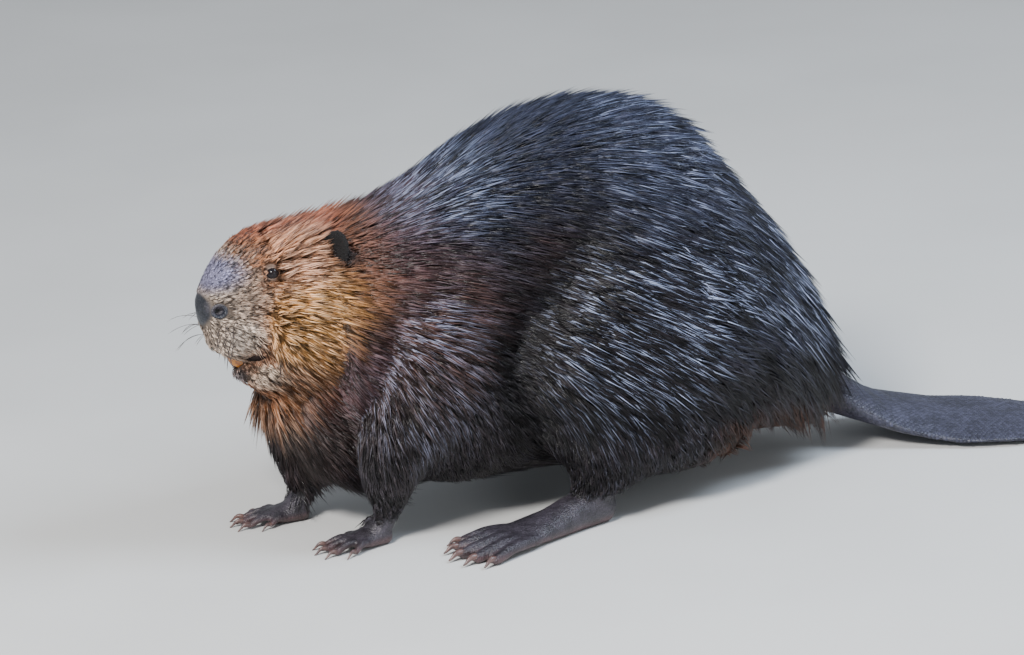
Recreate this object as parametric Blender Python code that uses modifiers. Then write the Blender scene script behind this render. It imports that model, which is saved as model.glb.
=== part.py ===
"""A life-size still model of a North American beaver, standing hunched on all fours and looking ahead.

Metres, +Z up. The head looks along -Y, the animal's left is +X and it stands on the floor at z = 0. The body
is lofted and blended as one form, out to the tips of its coat, and parted with thin cuts where its parts meet.
"""

import math

import bmesh
import bpy
import numpy as np
from mathutils import Matrix, Vector

# ---------------------------------------------------------------- driving dimensions
GAP = 0.0003  # clear space left by every cut
BODY_GRAIN = 0.0045  # grain of the blended trunk, neck, head and legs
FOOT_GRAIN = 0.0021  # grain of the blended feet
CALM_ROUNDS = 22  # extra smoothing behind the head
RING_SIDES = 36
CUTTER_SIDES = 12
CUTTER_ROOM = GAP * 1.4  # how much larger a rounded cutter is where it makes room for its part

BACK_HEIGHT = 0.392
BODY_HALF_WIDTH = 0.152
TAIL_ROOT = Vector((0.0, 0.386, 0.060))
TAIL_LENGTH = 0.262
TAIL_HALF_WIDTH = 0.064
TAIL_ROLL = 0.10  # how much higher the right edge lies, as a share of the width
TAIL_SWING = 0.120  # how far the tip lies to the animal's left

NOSE_TIP = Vector((-0.010, -0.253, 0.236))
HEAD_YAW = math.radians(-1)  # hardly turned to the animal's right
HEAD_ROLL = math.radians(8)  # the right side lower
EYE_RADIUS = 0.0080
EYE_DEPTH = 0.0046  # how deep the middle of the eyeball lies in the coat
EYE_PLACE = (0.0655, 0.0320)  # back from the nose tip, up from the nose tip
EAR_PLACE = (0.126, 0.0450)
EAR_SEAT = -0.0040  # how far the middle of the ear stands out of the coat, inward if above zero
NOSTRIL_PLACE = (0.0165, 0.0005)
EAR_HEIGHT = 0.043
EAR_WIDTH = 0.031
EAR_THICKNESS = 0.0085
TOOTH_WIDTH = 0.0076

NEAR = 1
FAR = -1
SIDE_NAME = {NEAR: "left", FAR: "right"}
FOREPAW = {NEAR: Vector((0.060, -0.107, 0.0)), FAR: Vector((-0.047, -0.150, 0.0))}
FOREPAW_TURN = {NEAR: math.radians(4), FAR: math.radians(-8)}
FOREPAW_LENGTH = 0.072
HEEL = {NEAR: Vector((0.114, 0.093, 0.0)), FAR: Vector((-0.114, 0.104, 0.0))}
HINDFOOT_TURN = {NEAR: math.radians(12), FAR: math.radians(-14)}
HINDFOOT_LENGTH = 0.178
WRIST_HEIGHT = 0.026
ANKLE_HEIGHT = 0.032

# ---------------------------------------------------------------- collections and finishes
for old in list(bpy.data.objects):
    bpy.data.objects.remove(old, do_unlink=True)

parts = bpy.data.collections.new("beaver")
cutters = bpy.data.collections.new("cutters")
cutters.hide_render = True
bpy.context.scene.collection.children.link(parts)
bpy.context.scene.collection.children.link(cutters)


def finish(name, colour, roughness):
    """A plain Principled material."""
    material = bpy.data.materials.new(name)
    material.use_nodes = True
    shader = material.node_tree.nodes["Principled BSDF"]
    shader.inputs["Base Color"].default_value = (*colour, 1.0)
    shader.inputs["Roughness"].default_value = roughness
    shader.inputs["Metallic"].default_value = 0.0
    return material


DARK_FUR = finish("dark_fur", (0.028, 0.022, 0.022), 0.6)
GOLD_FUR = finish("gold_fur", (0.27, 0.13, 0.045), 0.6)
BARE_SKIN = finish("bare_skin", (0.075, 0.062, 0.068), 0.5)
TAIL_SKIN = finish("tail_skin", (0.085, 0.085, 0.115), 0.45)
EYE = finish("eye_gloss", (0.012, 0.010, 0.012), 0.08)
TOOTH = finish("tooth_enamel", (0.55, 0.20, 0.03), 0.3)


# ---------------------------------------------------------------- forms
def smooth_stations(stations, steps):
    """Stations put in between the given ones, on smooth curves through them (Hermite, by distance)."""
    values = np.array(stations, float)
    gaps = np.linalg.norm(np.diff(values[:, :3], axis=0), axis=1)
    place = np.concatenate([[0.0], np.cumsum(gaps)])
    slope = np.gradient(values, place, axis=0)
    made = []
    for i in range(len(values) - 1):
        span = place[i + 1] - place[i]
        for t in np.arange(steps) / steps:
            rise = t * t * (3 - 2 * t)
            made.append(
                values[i] * (1 - rise)
                + values[i + 1] * rise
                + slope[i] * span * t * (1 - t) ** 2
                - slope[i + 1] * span * t * t * (1 - t)
            )
    made.append(values[-1])
    return np.array(made)


def ring_points(centre, across, upward, half_width, up, down, power, sides):
    """A closed superellipse, taller above its centre or below it as up and down say."""
    points = []
    for k in range(sides):
        angle = math.tau * k / sides
        c, s = math.cos(angle), math.sin(angle)
        out = math.copysign(abs(c) ** (2 / power), c) * half_width
        rise = math.copysign(abs(s) ** (2 / power), s) * (up if s > 0 else down)
        points.append(Vector(centre) + across * out + upward * rise)
    return points


def loft(name, stations, steps=4, power=2.0, upright=False, cap=0.5, sides=RING_SIDES, frame=None):
    """A closed form through stations (x, y, z, half width, up, down), with rounded ends.

    upright keeps every ring in a vertical plane across Y; otherwise a ring stands square to the path. cap is
    the depth of each rounded end as a share of the end ring's height. frame places the whole form.
    """
    smooth = smooth_stations(stations, steps)
    path = [Vector(s[:3]) for s in smooth]
    rings = []
    count = len(smooth)
    for i in range(count):
        ahead = path[min(i + 1, count - 1)] - path[max(i - 1, 0)]
        ahead = Vector((0, 1, 0)) if upright else ahead.normalized()
        across = (Vector((1, 0, 0)) - ahead * ahead.x).normalized()
        upward = across.cross(ahead).normalized()
        rings.append((path[i], ahead, across, upward, *smooth[i][3:6]))
    rounded = []
    for turn in (80, 62, 40, 18):
        shrink, reach = math.cos(math.radians(turn)), math.sin(math.radians(turn))
        centre, ahead, across, upward, wide, up, down = rings[0]
        depth = cap * (up + down) / 2
        rounded.append((centre - ahead * depth * reach, across, upward, wide * shrink, up * shrink, down * shrink))
    for centre, _, across, upward, wide, up, down in rings:
        rounded.append((centre, across, upward, wide, up, down))
    for turn in (18, 40, 62, 80):
        shrink, reach = math.cos(math.radians(turn)), math.sin(math.radians(turn))
        centre, ahead, across, upward, wide, up, down = rings[-1]
        depth = cap * (up + down) / 2
        rounded.append((centre + ahead * depth * reach, across, upward, wide * shrink, up * shrink, down * shrink))
    mesh = bmesh.new()
    loops = []
    for centre, across, upward, wide, up, down in rounded:
        points = ring_points(centre, across, upward, wide, up, down, power, sides)
        loops.append([mesh.verts.new(p) for p in points])
    for one, two in zip(loops, loops[1:]):
        for k in range(sides):
            mesh.faces.new((one[k], one[(k + 1) % sides], two[(k + 1) % sides], two[k]))
    mesh.faces.new(loops[0][::-1])
    mesh.faces.new(loops[-1])
    bmesh.ops.recalc_face_normals(mesh, faces=mesh.faces)
    if frame is not None:
        bmesh.ops.transform(mesh, matrix=frame, verts=mesh.verts)
    return mesh_object(name, mesh)


def mesh_object(name, mesh, collection=cutters):
    """An object made from a bmesh, kept among the cutters until it is finished."""
    data = bpy.data.meshes.new(name)
    mesh.to_mesh(data)
    mesh.free()
    made = bpy.data.objects.new(name, data)
    collection.objects.link(made)
    made.hide_render = True
    made.display_type = "WIRE"
    return made


def ellipsoid(name, centre, radii, turn=(0, 0, 0), segments=32):
    """A ball stretched to three radii and turned."""
    mesh = bmesh.new()
    bmesh.ops.create_uvsphere(mesh, u_segments=segments, v_segments=segments // 2, radius=1.0)
    spin = Matrix.Rotation(turn[2], 4, "Z") @ Matrix.Rotation(turn[1], 4, "Y") @ Matrix.Rotation(turn[0], 4, "X")
    place = Matrix.Translation(centre) @ spin @ Matrix.Diagonal((*radii, 1.0))
    bmesh.ops.transform(mesh, matrix=place, verts=mesh.verts)
    return mesh_object(name, mesh)


def block(name, centre, size, turn=(0, 0, 0)):
    """A box, turned about its centre."""
    mesh = bmesh.new()
    bmesh.ops.create_cube(mesh, size=1.0)
    spin = Matrix.Rotation(turn[2], 4, "Z") @ Matrix.Rotation(turn[0], 4, "X")
    place = Matrix.Translation(centre) @ spin @ Matrix.Diagonal((*size, 1.0))
    bmesh.ops.transform(mesh, matrix=place, verts=mesh.verts)
    return mesh_object(name, mesh)


def evaluated_copy(name, source, collection=cutters):
    """A plain mesh object of what the source's modifiers make."""
    graph = bpy.context.evaluated_depsgraph_get()
    data = bpy.data.meshes.new_from_object(source.evaluated_get(graph))
    data.name = name
    made = bpy.data.objects.new(name, data)
    collection.objects.link(made)
    made.hide_render = collection is cutters
    made.display_type = "WIRE" if collection is cutters else "TEXTURED"
    return made


def joined(name, pieces):
    """One object that holds the meshes of all the pieces."""
    mesh = bmesh.new()
    for piece in pieces:
        mesh.from_mesh(piece.data)
        bpy.data.objects.remove(piece, do_unlink=True)
    return mesh_object(name, mesh)


def blended(name, pieces, grain, smoothing, triangles, calm_behind=None):
    """The pieces fused into one closed skin, smoothed, and thinned to about a number of triangles.

    calm_behind is a place along Y, behind which the skin is smoothed more.
    """
    lump = joined(name + "_lump", pieces)
    remesh = lump.modifiers.new("fuse", "REMESH")
    remesh.mode = "VOXEL"
    remesh.voxel_size = grain
    smooth = lump.modifiers.new("smooth", "SMOOTH")
    smooth.factor = 0.5
    smooth.iterations = smoothing
    bpy.context.view_layer.update()
    skin = evaluated_copy(name + "_skin", lump)
    bpy.data.objects.remove(lump, do_unlink=True)
    if calm_behind is not None:
        group = skin.vertex_groups.new(name="calm")
        group.add([v.index for v in skin.data.vertices if v.co.y > calm_behind], 1.0, "REPLACE")
        calm = skin.modifiers.new("calm", "SMOOTH")
        calm.factor = 0.5
        calm.iterations = CALM_ROUNDS
        calm.vertex_group = "calm"
    thin = skin.modifiers.new("thin", "DECIMATE")
    thin.use_collapse_triangulate = True
    thin.ratio = triangles / (2 * len(skin.data.polygons))
    bpy.context.view_layer.update()
    made = evaluated_copy(name, skin)
    bpy.data.objects.remove(skin, do_unlink=True)
    return made


def carved(name, source, steps, collection=cutters):
    """The source after a list of Boolean steps (operation, cutter)."""
    work = evaluated_copy(name + "_work", source)
    for operation, cutter in steps:
        cut = work.modifiers.new(operation.lower(), "BOOLEAN")
        cut.operation = operation
        cut.object = cutter
    bpy.context.view_layer.update()
    made = evaluated_copy(name, work, collection)
    bpy.data.objects.remove(work, do_unlink=True)
    return made


def node(name, source, steps, material):
    """A finished part: the source carved, cleaned, shaded and named."""
    made = carved(name, source, steps, parts)
    mesh = bmesh.new()
    mesh.from_mesh(made.data)
    bmesh.ops.triangulate(mesh, faces=mesh.faces)
    bmesh.ops.dissolve_degenerate(mesh, edges=mesh.edges, dist=1e-6)
    mesh.to_mesh(made.data)
    mesh.free()
    made.data.shade_smooth()
    made.data.set_sharp_from_angle(angle=math.radians(50))
    made.data.materials.clear()
    made.data.materials.append(material)
    return made


# ---------------------------------------------------------------- places on the head
HEAD = Matrix.Translation(NOSE_TIP) @ Matrix.Rotation(HEAD_YAW, 4, "Z") @ Matrix.Rotation(-HEAD_ROLL, 4, "Y")


def on_head(back, out, rise):
    """A place given from the nose tip: back along the head, out to the animal's left, and up."""
    return HEAD @ Vector((out, back, rise))


# ---------------------------------------------------------------- the forms of the body
def trunk_form():
    """Chest, hunched back, belly and rump, as upright rings from the neck to the tail root."""
    profile = (
        # y, back height, belly height, half width, all as the coat stands
        (-0.122, 0.280, 0.086, 0.070),
        (-0.085, 0.304, 0.056, 0.092),
        (-0.035, 0.336, 0.034, 0.112),
        (0.030, 0.370, 0.029, 0.121),
        (0.085, 0.388, 0.029, 0.130),
        (0.140, BACK_HEIGHT, 0.030, 0.146),
        (0.190, 0.386, 0.031, BODY_HALF_WIDTH),
        (0.235, 0.365, 0.031, 0.150),
        (0.282, 0.316, 0.032, 0.138),
        (0.324, 0.264, 0.036, 0.117),
        (0.354, 0.214, 0.044, 0.095),
        (0.378, 0.158, 0.056, 0.070),
        (0.396, 0.112, 0.068, 0.047),
    )
    stations = []
    for y, top, bottom, wide in profile:
        middle = bottom + 0.41 * (top - bottom)
        stations.append((0.0, y, middle, wide, top - middle, middle - bottom))
    return loft("trunk_form", stations, upright=True, power=2.2, cap=0.12)


def neck_form():
    """The thick neck, from the shoulders to the back of the head."""
    stations = (
        (0.000, 0.010, 0.225, 0.108, 0.122, 0.130),
        (-0.002, -0.050, 0.212, 0.098, 0.114, 0.130),
        (-0.008, -0.100, 0.208, 0.088, 0.100, 0.116),
        (-0.010, -0.142, 0.212, 0.078, 0.090, 0.104),
    )
    return loft("neck_form", stations, upright=True, power=2.15, cap=0.3)


def chest_form():
    """The hanging coat of throat and chest, between the forelegs."""
    stations = (
        (-0.016, -0.178, 0.142, 0.034, 0.038, 0.038),
        (-0.014, -0.156, 0.120, 0.052, 0.056, 0.052),
        (-0.007, -0.120, 0.104, 0.066, 0.070, 0.066),
        (0.000, -0.070, 0.100, 0.078, 0.070, 0.066),
    )
    return loft("chest_form", stations, upright=True, cap=0.5)


def head_forms():
    """Skull, deep blunt muzzle, cheeks, nose pad, brows and lower jaw, in the head's own frame."""
    skull = (
        # out, back, up, half width, up, down
        (0.0, 0.0045, 0.001, 0.0150, 0.015, 0.016),
        (0.0, 0.0090, 0.002, 0.0205, 0.022, 0.028),
        (0.0, 0.0170, 0.004, 0.0245, 0.033, 0.042),
        (0.0, 0.0290, 0.008, 0.0280, 0.0445, 0.055),
        (0.0, 0.0440, 0.012, 0.0335, 0.0515, 0.064),
        (0.0, 0.0600, 0.013, 0.0405, 0.0570, 0.070),
        (0.0, 0.0800, 0.009, 0.0495, 0.0605, 0.080),
        (0.0, 0.1050, 0.004, 0.0575, 0.0650, 0.088),
        (0.0, 0.1300, -0.002, 0.0640, 0.0675, 0.090),
        (0.0, 0.1550, -0.008, 0.0720, 0.0735, 0.092),
    )
    jaw = (
        (0.0, 0.0340, -0.061, 0.0140, 0.007, 0.009),
        (0.0, 0.0450, -0.066, 0.0190, 0.012, 0.014),
        (0.0, 0.0630, -0.068, 0.0265, 0.024, 0.024),
        (0.0, 0.0850, -0.068, 0.0370, 0.036, 0.037),
        (0.0, 0.1200, -0.066, 0.0480, 0.046, 0.048),
    )
    forms = [
        loft("skull", skull, upright=True, power=2.3, cap=0.22, frame=HEAD),
        loft("jaw", jaw, upright=True, power=2.1, cap=0.5, frame=HEAD),
        ellipsoid("nose_pad", on_head(0.0085, 0.0, 0.003), (0.0145, 0.0085, 0.0125), (0, 0, HEAD_YAW)),
    ]
    for side in (NEAR, FAR):
        turn = (0, 0, HEAD_YAW + side * 0.20)
        forms += [
            ellipsoid("lip", on_head(0.0310, side * 0.0130, -0.027), (0.0160, 0.0215, 0.0215), turn),
            ellipsoid("cheek", on_head(0.110, side * 0.0375, -0.022), (0.0260, 0.054, 0.054), turn),
            ellipsoid("brow", on_head(0.064, side * 0.0300, 0.0430), (0.0090, 0.018, 0.0095), turn),
            ellipsoid("nostril_wing", on_head(0.012, side * 0.0110, 0.003), (0.0055, 0.008, 0.0090), turn),
            ellipsoid("temple", on_head(0.100, side * 0.032, 0.030), (0.0230, 0.045, 0.034), turn),
        ]
    return forms


def foreleg_forms(side):
    """Shoulder, upper arm and forearm down to the wrist."""
    paw = FOREPAW[side]
    lean = 0.012 if side == NEAR else -0.012
    arm = (
        (side * 0.078, -0.030, 0.200, 0.048, 0.062, 0.062),
        (side * 0.080, paw.y + 0.050, 0.150, 0.045, 0.052, 0.052),
        (paw.x + side * 0.014, paw.y + 0.016, 0.105, 0.039, 0.043, 0.043),
        (paw.x + side * 0.006, paw.y + 0.010, 0.066, 0.0305, 0.0315, 0.0315),
        (paw.x, paw.y + 0.008, 0.036, 0.0205, 0.0200, 0.0200),
        (paw.x, paw.y + 0.002, 0.014, 0.0150, 0.0135, 0.0135),
    )
    shoulder = ellipsoid("shoulder", (side * 0.074, -0.028 + lean, 0.175), (0.046, 0.072, 0.094))
    return [loft("arm", arm, cap=0.4), shoulder]


def hindleg_forms(side):
    """The great haunch, the knee bulge and the shank down to the heel."""
    heel = HEEL[side]
    shank = (
        (side * 0.100, 0.085, 0.120, 0.046, 0.054, 0.054),
        (side * 0.108, 0.106, 0.080, 0.040, 0.050, 0.050),
        (heel.x, heel.y + 0.008, 0.046, 0.0290, 0.0370, 0.0370),
        (heel.x, heel.y - 0.004, 0.026, 0.0200, 0.0240, 0.0240),
    )
    haunch = ellipsoid("haunch", (side * 0.098, 0.176, 0.176), (0.066, 0.122, 0.122), (0.25, 0, 0))
    knee = ellipsoid("knee", (side * 0.106, 0.082, 0.140), (0.046, 0.056, 0.066), (0.5, 0, 0))
    thigh_fringe = ellipsoid("thigh_fringe", (side * 0.092, 0.172, 0.082), (0.056, 0.100, 0.051))
    return [loft("shank", shank, cap=0.4), haunch, knee, thigh_fringe]


# ---------------------------------------------------------------- feet
def digit(name, root, tip, thick_root, thick_tip, arch, claw_length, claw_drop, flatness=1.0):
    """A toe arched from its root to its tip, with a curved claw growing out of it."""
    ahead = (tip - root).normalized()
    middle = (root + tip) / 2 + Vector((0, 0, arch))
    stations = (
        (*root, thick_root * flatness, thick_root, thick_root),
        (*middle, thick_root * 0.92 * flatness, thick_root * 0.92, thick_root * 0.92),
        (*tip, thick_tip * flatness, thick_tip, thick_tip),
    )
    toe = loft(name, stations, steps=4, cap=0.8, sides=14)
    start = tip + ahead * thick_tip * 0.2 + Vector((0, 0, thick_tip * 0.15))
    bend = start + ahead * claw_length * 0.55 + Vector((0, 0, -claw_drop * 0.25))
    point = start + ahead * claw_length + Vector((0, 0, -claw_drop))
    claw = (
        (*start, thick_tip * 0.62, thick_tip * 0.62, thick_tip * 0.62),
        (*bend, thick_tip * 0.46, thick_tip * 0.42, thick_tip * 0.42),
        (*point, thick_tip * 0.24, thick_tip * 0.22, thick_tip * 0.22),
    )
    return [toe, loft(name + "_claw", claw, steps=4, cap=0.6, sides=12)]


def forefoot_forms(side):
    """A small bare hand: wrist, palm and five clawed fingers, the inner one short."""
    wrist = FOREPAW[side]
    turn = Matrix.Translation(wrist) @ Matrix.Rotation(FOREPAW_TURN[side], 4, "Z")
    wrist_stub = (
        (0.0, 0.014, 0.050, 0.0165, 0.0150, 0.0150),
        (0.0, 0.006, 0.028, 0.0140, 0.0130, 0.0130),
        (0.0, -0.004, 0.011, 0.0150, 0.0110, 0.0110),
    )
    palm = (
        (0.0, 0.006, 0.0085, 0.0130, 0.0100, 0.0095),
        (0.0, -0.014, 0.0080, 0.0165, 0.0085, 0.0090),
        (0.0, -0.028, 0.0065, 0.0150, 0.0062, 0.0072),
    )
    forms = [
        loft("wrist", wrist_stub, cap=0.3, sides=20, frame=turn),
        loft("palm", palm, cap=0.5, sides=24, frame=turn),
    ]
    # spread of each finger across the hand, its reach and the thickness at its root
    fingers = ((-0.0135, -0.42, 0.55, 0.0036), (-0.0080, -0.20, 0.90, 0.0042), (-0.0005, -0.02, 1.0, 0.0044),
               (0.0075, 0.17, 0.93, 0.0043), (0.0132, 0.42, 0.72, 0.0039))
    for number, (out, spread, reach, thick) in enumerate(fingers):
        length = (FOREPAW_LENGTH - 0.040) * reach
        root = Vector((out * side, -0.022 if 0 < number < 4 else -0.015, 0.0060))
        aim = Vector((math.sin(spread * side), -math.cos(spread), 0.0))
        tip = root + aim * length
        tip.z = 0.0040
        root, tip = turn @ root, turn @ tip
        forms += digit("finger", root, tip, thick, thick * 0.86, 0.0045, 0.0125 * (0.6 + 0.4 * reach), 0.0028)
    return forms


def hindfoot_forms(side):
    """A long bare foot, heel on the floor, with five toes lying side by side in their web."""
    heel = HEEL[side]
    turn = Matrix.Translation(heel) @ Matrix.Rotation(HINDFOOT_TURN[side], 4, "Z")
    sole = (
        (0.0, 0.012, 0.0150, 0.0150, 0.0160, 0.0165),
        (0.0, -0.014, 0.0170, 0.0175, 0.0190, 0.0185),
        (0.0, -0.048, 0.0120, 0.0215, 0.0145, 0.0135),
        (0.0, -0.082, 0.0085, 0.0270, 0.0095, 0.0100),
        (0.0, -0.108, 0.0062, 0.0300, 0.0062, 0.0075),
    )
    ankle = (
        (0.0, 0.008, 0.060, 0.0210, 0.0220, 0.0220),
        (0.0, 0.004, 0.036, 0.0175, 0.0200, 0.0200),
        (0.0, -0.004, 0.018, 0.0160, 0.0180, 0.0180),
    )
    forms = [
        loft("sole", sole, cap=0.6, sides=28, frame=turn),
        loft("ankle", ankle, cap=0.3, sides=24, frame=turn),
    ]
    toes = ((-0.0235, -0.20, 0.72, 0.0054), (-0.0125, -0.10, 0.90, 0.0062), (0.0000, 0.00, 1.0, 0.0070),
            (0.0125, 0.10, 0.97, 0.0070), (0.0235, 0.22, 0.84, 0.0062))
    tips = []
    for out, spread, reach, thick in toes:
        length = (HINDFOOT_LENGTH - 0.112) * reach
        root = Vector((out * side, -0.086, 0.0090))
        tip = root + Vector((math.sin(spread * side), -math.cos(spread), 0.0)) * length
        tip.z = 0.0054
        tips.append((root.copy(), tip.copy()))
        root, tip = turn @ root, turn @ tip
        forms += digit("toe", root, tip, thick, thick * 0.84, 0.0030, 0.0150 * (0.5 + 0.5 * reach), 0.0022)
    for (root_a, tip_a), (root_b, tip_b) in zip(tips, tips[1:]):
        web = []
        for share in (0.0, 0.35, 0.7, 0.88):
            a, b = root_a.lerp(tip_a, share), root_b.lerp(tip_b, share)
            middle = (a + b) / 2
            web.append((middle.x, middle.y, middle.z - 0.0012, (a - b).length / 2, 0.0022, 0.0022))
        forms.append(loft("web", web, upright=True, cap=0.3, sides=16, frame=turn))
    return forms


def tail_form():
    """The scaly paddle: round and thick at the root, soon flat, lying along the floor to a rounded end."""
    # share of the length, height of the middle, half width, thickness above and below the middle
    profile = (
        (-0.30, 0.086, 0.036, 0.032, 0.030),
        (-0.16, 0.076, 0.0385, 0.029, 0.028),
        (0.00, 0.056, 0.0420, 0.0235, 0.0225),
        (0.12, 0.036, 0.0490, 0.0175, 0.0165),
        (0.26, 0.0185, 0.0560, 0.0125, 0.0120),
        (0.42, 0.0095, 0.0600, 0.0092, 0.0092),
        (0.60, 0.0076, TAIL_HALF_WIDTH, 0.0074, 0.0080),
        (0.78, 0.0066, 0.0550, 0.0062, 0.0068),
        (0.91, 0.0056, 0.0420, 0.0050, 0.0057),
        (0.98, 0.0050, 0.0230, 0.0042, 0.0051),
    )
    stations = []
    for share, height, wide, up, down in profile:
        sweep = TAIL_SWING * max(share, 0.0) ** 1.5
        stations.append((TAIL_ROOT.x + sweep, TAIL_ROOT.y + share * TAIL_LENGTH, height, wide, up, down))
    blade = loft("tail_form", stations, steps=4, power=1.75, cap=0.9, sides=32)
    for vertex in blade.data.vertices:
        share = (vertex.co.y - TAIL_ROOT.y) / TAIL_LENGTH
        sweep = TAIL_SWING * max(share, 0.0) ** 1.5
        lift = TAIL_ROLL * max(0.0, 1 - abs(share - 0.35) / 0.6)
        vertex.co.z += lift * (TAIL_HALF_WIDTH - (vertex.co.x - TAIL_ROOT.x - sweep))
    return blade


# ---------------------------------------------------------------- fused skins
body_forms = [trunk_form(), neck_form(), chest_form(), *head_forms()]
for leg_side in (NEAR, FAR):
    body_forms += foreleg_forms(leg_side) + hindleg_forms(leg_side)
body = blended("body", body_forms, BODY_GRAIN, 5, 3000, calm_behind=-0.110)
forefeet = {side: blended("forefoot", forefoot_forms(side), FOOT_GRAIN * 0.75, 2, 500) for side in (NEAR, FAR)}
hindfeet = {side: blended("hindfoot", hindfoot_forms(side), FOOT_GRAIN, 2, 460) for side in (NEAR, FAR)}
tail = blended("tail_blade", [tail_form()], 0.0026, 3, 460)

# ---------------------------------------------------------------- cutters
FAR_OFF = 2.0  # a size that reaches past the whole animal


def half_space(name, point, facing):
    """A big block on the side of a plane that its facing points to."""
    facing = Vector(facing).normalized()
    turn = Vector((0, 1, 0)).rotation_difference(facing).to_matrix().to_4x4()
    mesh = bmesh.new()
    bmesh.ops.create_cube(mesh, size=FAR_OFF)
    bmesh.ops.translate(mesh, vec=(0, FAR_OFF / 2, 0), verts=mesh.verts)
    bmesh.ops.transform(mesh, matrix=Matrix.Translation(point) @ turn, verts=mesh.verts)
    return mesh_object(name, mesh)


def two_sides(name, point, facing):
    """Half spaces on either side of a plane, with the gap between them."""
    facing = Vector(facing).normalized()
    point = Vector(point)
    ahead = half_space(name + "_ahead", point + facing * GAP / 2, facing)
    behind = half_space(name + "_behind", point - facing * GAP / 2, -facing)
    return ahead, behind


floor = block("floor_cut", (0, 0, -FAR_OFF / 2), (FAR_OFF, FAR_OFF, FAR_OFF))
NECK_SLANT = (0.0, -1.0, 0.42)
head_side, neck_back = two_sides("nape_cut", (0, -0.126, 0.25), NECK_SLANT)
neck_side, trunk_back = two_sides("collar_cut", (0, -0.072, 0.25), NECK_SLANT)
trunk_side, tail_back = two_sides("tail_root_cut", (0, TAIL_ROOT.y, 0.098), (0, -1, 0.9))
above_wrist, below_wrist = two_sides("wrist_cut", (0, 0, WRIST_HEIGHT), (0, 0, 1))
above_ankle, below_ankle = two_sides("ankle_cut", (0, 0, ANKLE_HEIGHT), (0, 0, 1))


def with_room(name, place, radii):
    """A rounded cutter for a leg and a slightly larger one that makes room for it in the trunk."""
    snug = ellipsoid(name + "_cut", place, radii, segments=CUTTER_SIDES)
    room = ellipsoid(name + "_room", place, [radius + CUTTER_ROOM for radius in radii], segments=CUTTER_SIDES)
    return snug, room


def grown(name, source):
    """A copy of a form, larger all round by the gap."""
    work = evaluated_copy(name + "_work", source)
    swell = work.modifiers.new("swell", "DISPLACE")
    swell.strength = GAP
    swell.mid_level = 0.0
    bpy.context.view_layer.update()
    made = evaluated_copy(name, work)
    bpy.data.objects.remove(work, do_unlink=True)
    return made


def coat_point(back, rise, side, inward):
    """The point of the coat beside a place on the head's middle plane, moved inward by a depth."""
    middle = on_head(back, 0.0, rise)
    outward = HEAD.to_3x3() @ Vector((side, 0.0, 0.0))
    _, place, _, _ = body.ray_cast(middle + outward, -outward)
    return place - outward * inward


def ear_form(side):
    """A round upright ear, cupped in front, leaning back and facing outward."""
    place = Matrix.Translation(coat_point(*EAR_PLACE, side, EAR_SEAT)) @ HEAD.to_3x3().to_4x4()
    stance = Matrix.Rotation(side * math.radians(38), 4, "Z") @ Matrix.Rotation(side * math.radians(20), 4, "Y")
    shell = ellipsoid("ear_shell", (0, 0, 0), (EAR_WIDTH / 2, EAR_THICKNESS / 2, EAR_HEIGHT / 2), segments=14)
    hollow_size = (EAR_WIDTH * 0.36, EAR_THICKNESS * 0.55, EAR_HEIGHT * 0.38)
    hollow = ellipsoid("ear_hollow", (0, -EAR_THICKNESS * 0.52, 0.001), hollow_size, segments=10)
    for piece in (shell, hollow):
        piece.data.transform(place @ stance)
    return shell, hollow


def mouth_form():
    """The narrow opening between the lips, widest in front and closing towards its corners."""
    opening = (
        (0.0, 0.000, -0.0555, 0.060, 0.0042, 0.0042),
        (0.0, 0.030, -0.0550, 0.060, 0.0034, 0.0034),
        (0.0, 0.044, -0.0500, 0.060, 0.0014, 0.0014),
        (0.0, 0.056, -0.0450, 0.060, 0.0009, 0.0009),
    )
    return loft("mouth", opening, upright=True, power=3.0, cap=0.2, sides=24, frame=HEAD)


def incisor_forms():
    """The two upper front teeth, side by side, curving down and back."""
    forms = []
    for side in (NEAR, FAR):
        root = HEAD @ Vector((side * TOOTH_WIDTH * 0.46, 0.0370, -0.0440))
        curve = (
            (*root, TOOTH_WIDTH * 0.52, 0.0052, 0.0052),
            (*(root + Vector((0, -0.0012, -0.0080))), TOOTH_WIDTH * 0.52, 0.0050, 0.0050),
            (*(root + Vector((0, 0.0004, -0.0150))), TOOTH_WIDTH * 0.50, 0.0042, 0.0042),
        )
        forms.append(loft("tooth", curve, steps=3, power=3.0, cap=0.15, sides=14))
    return forms


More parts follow.
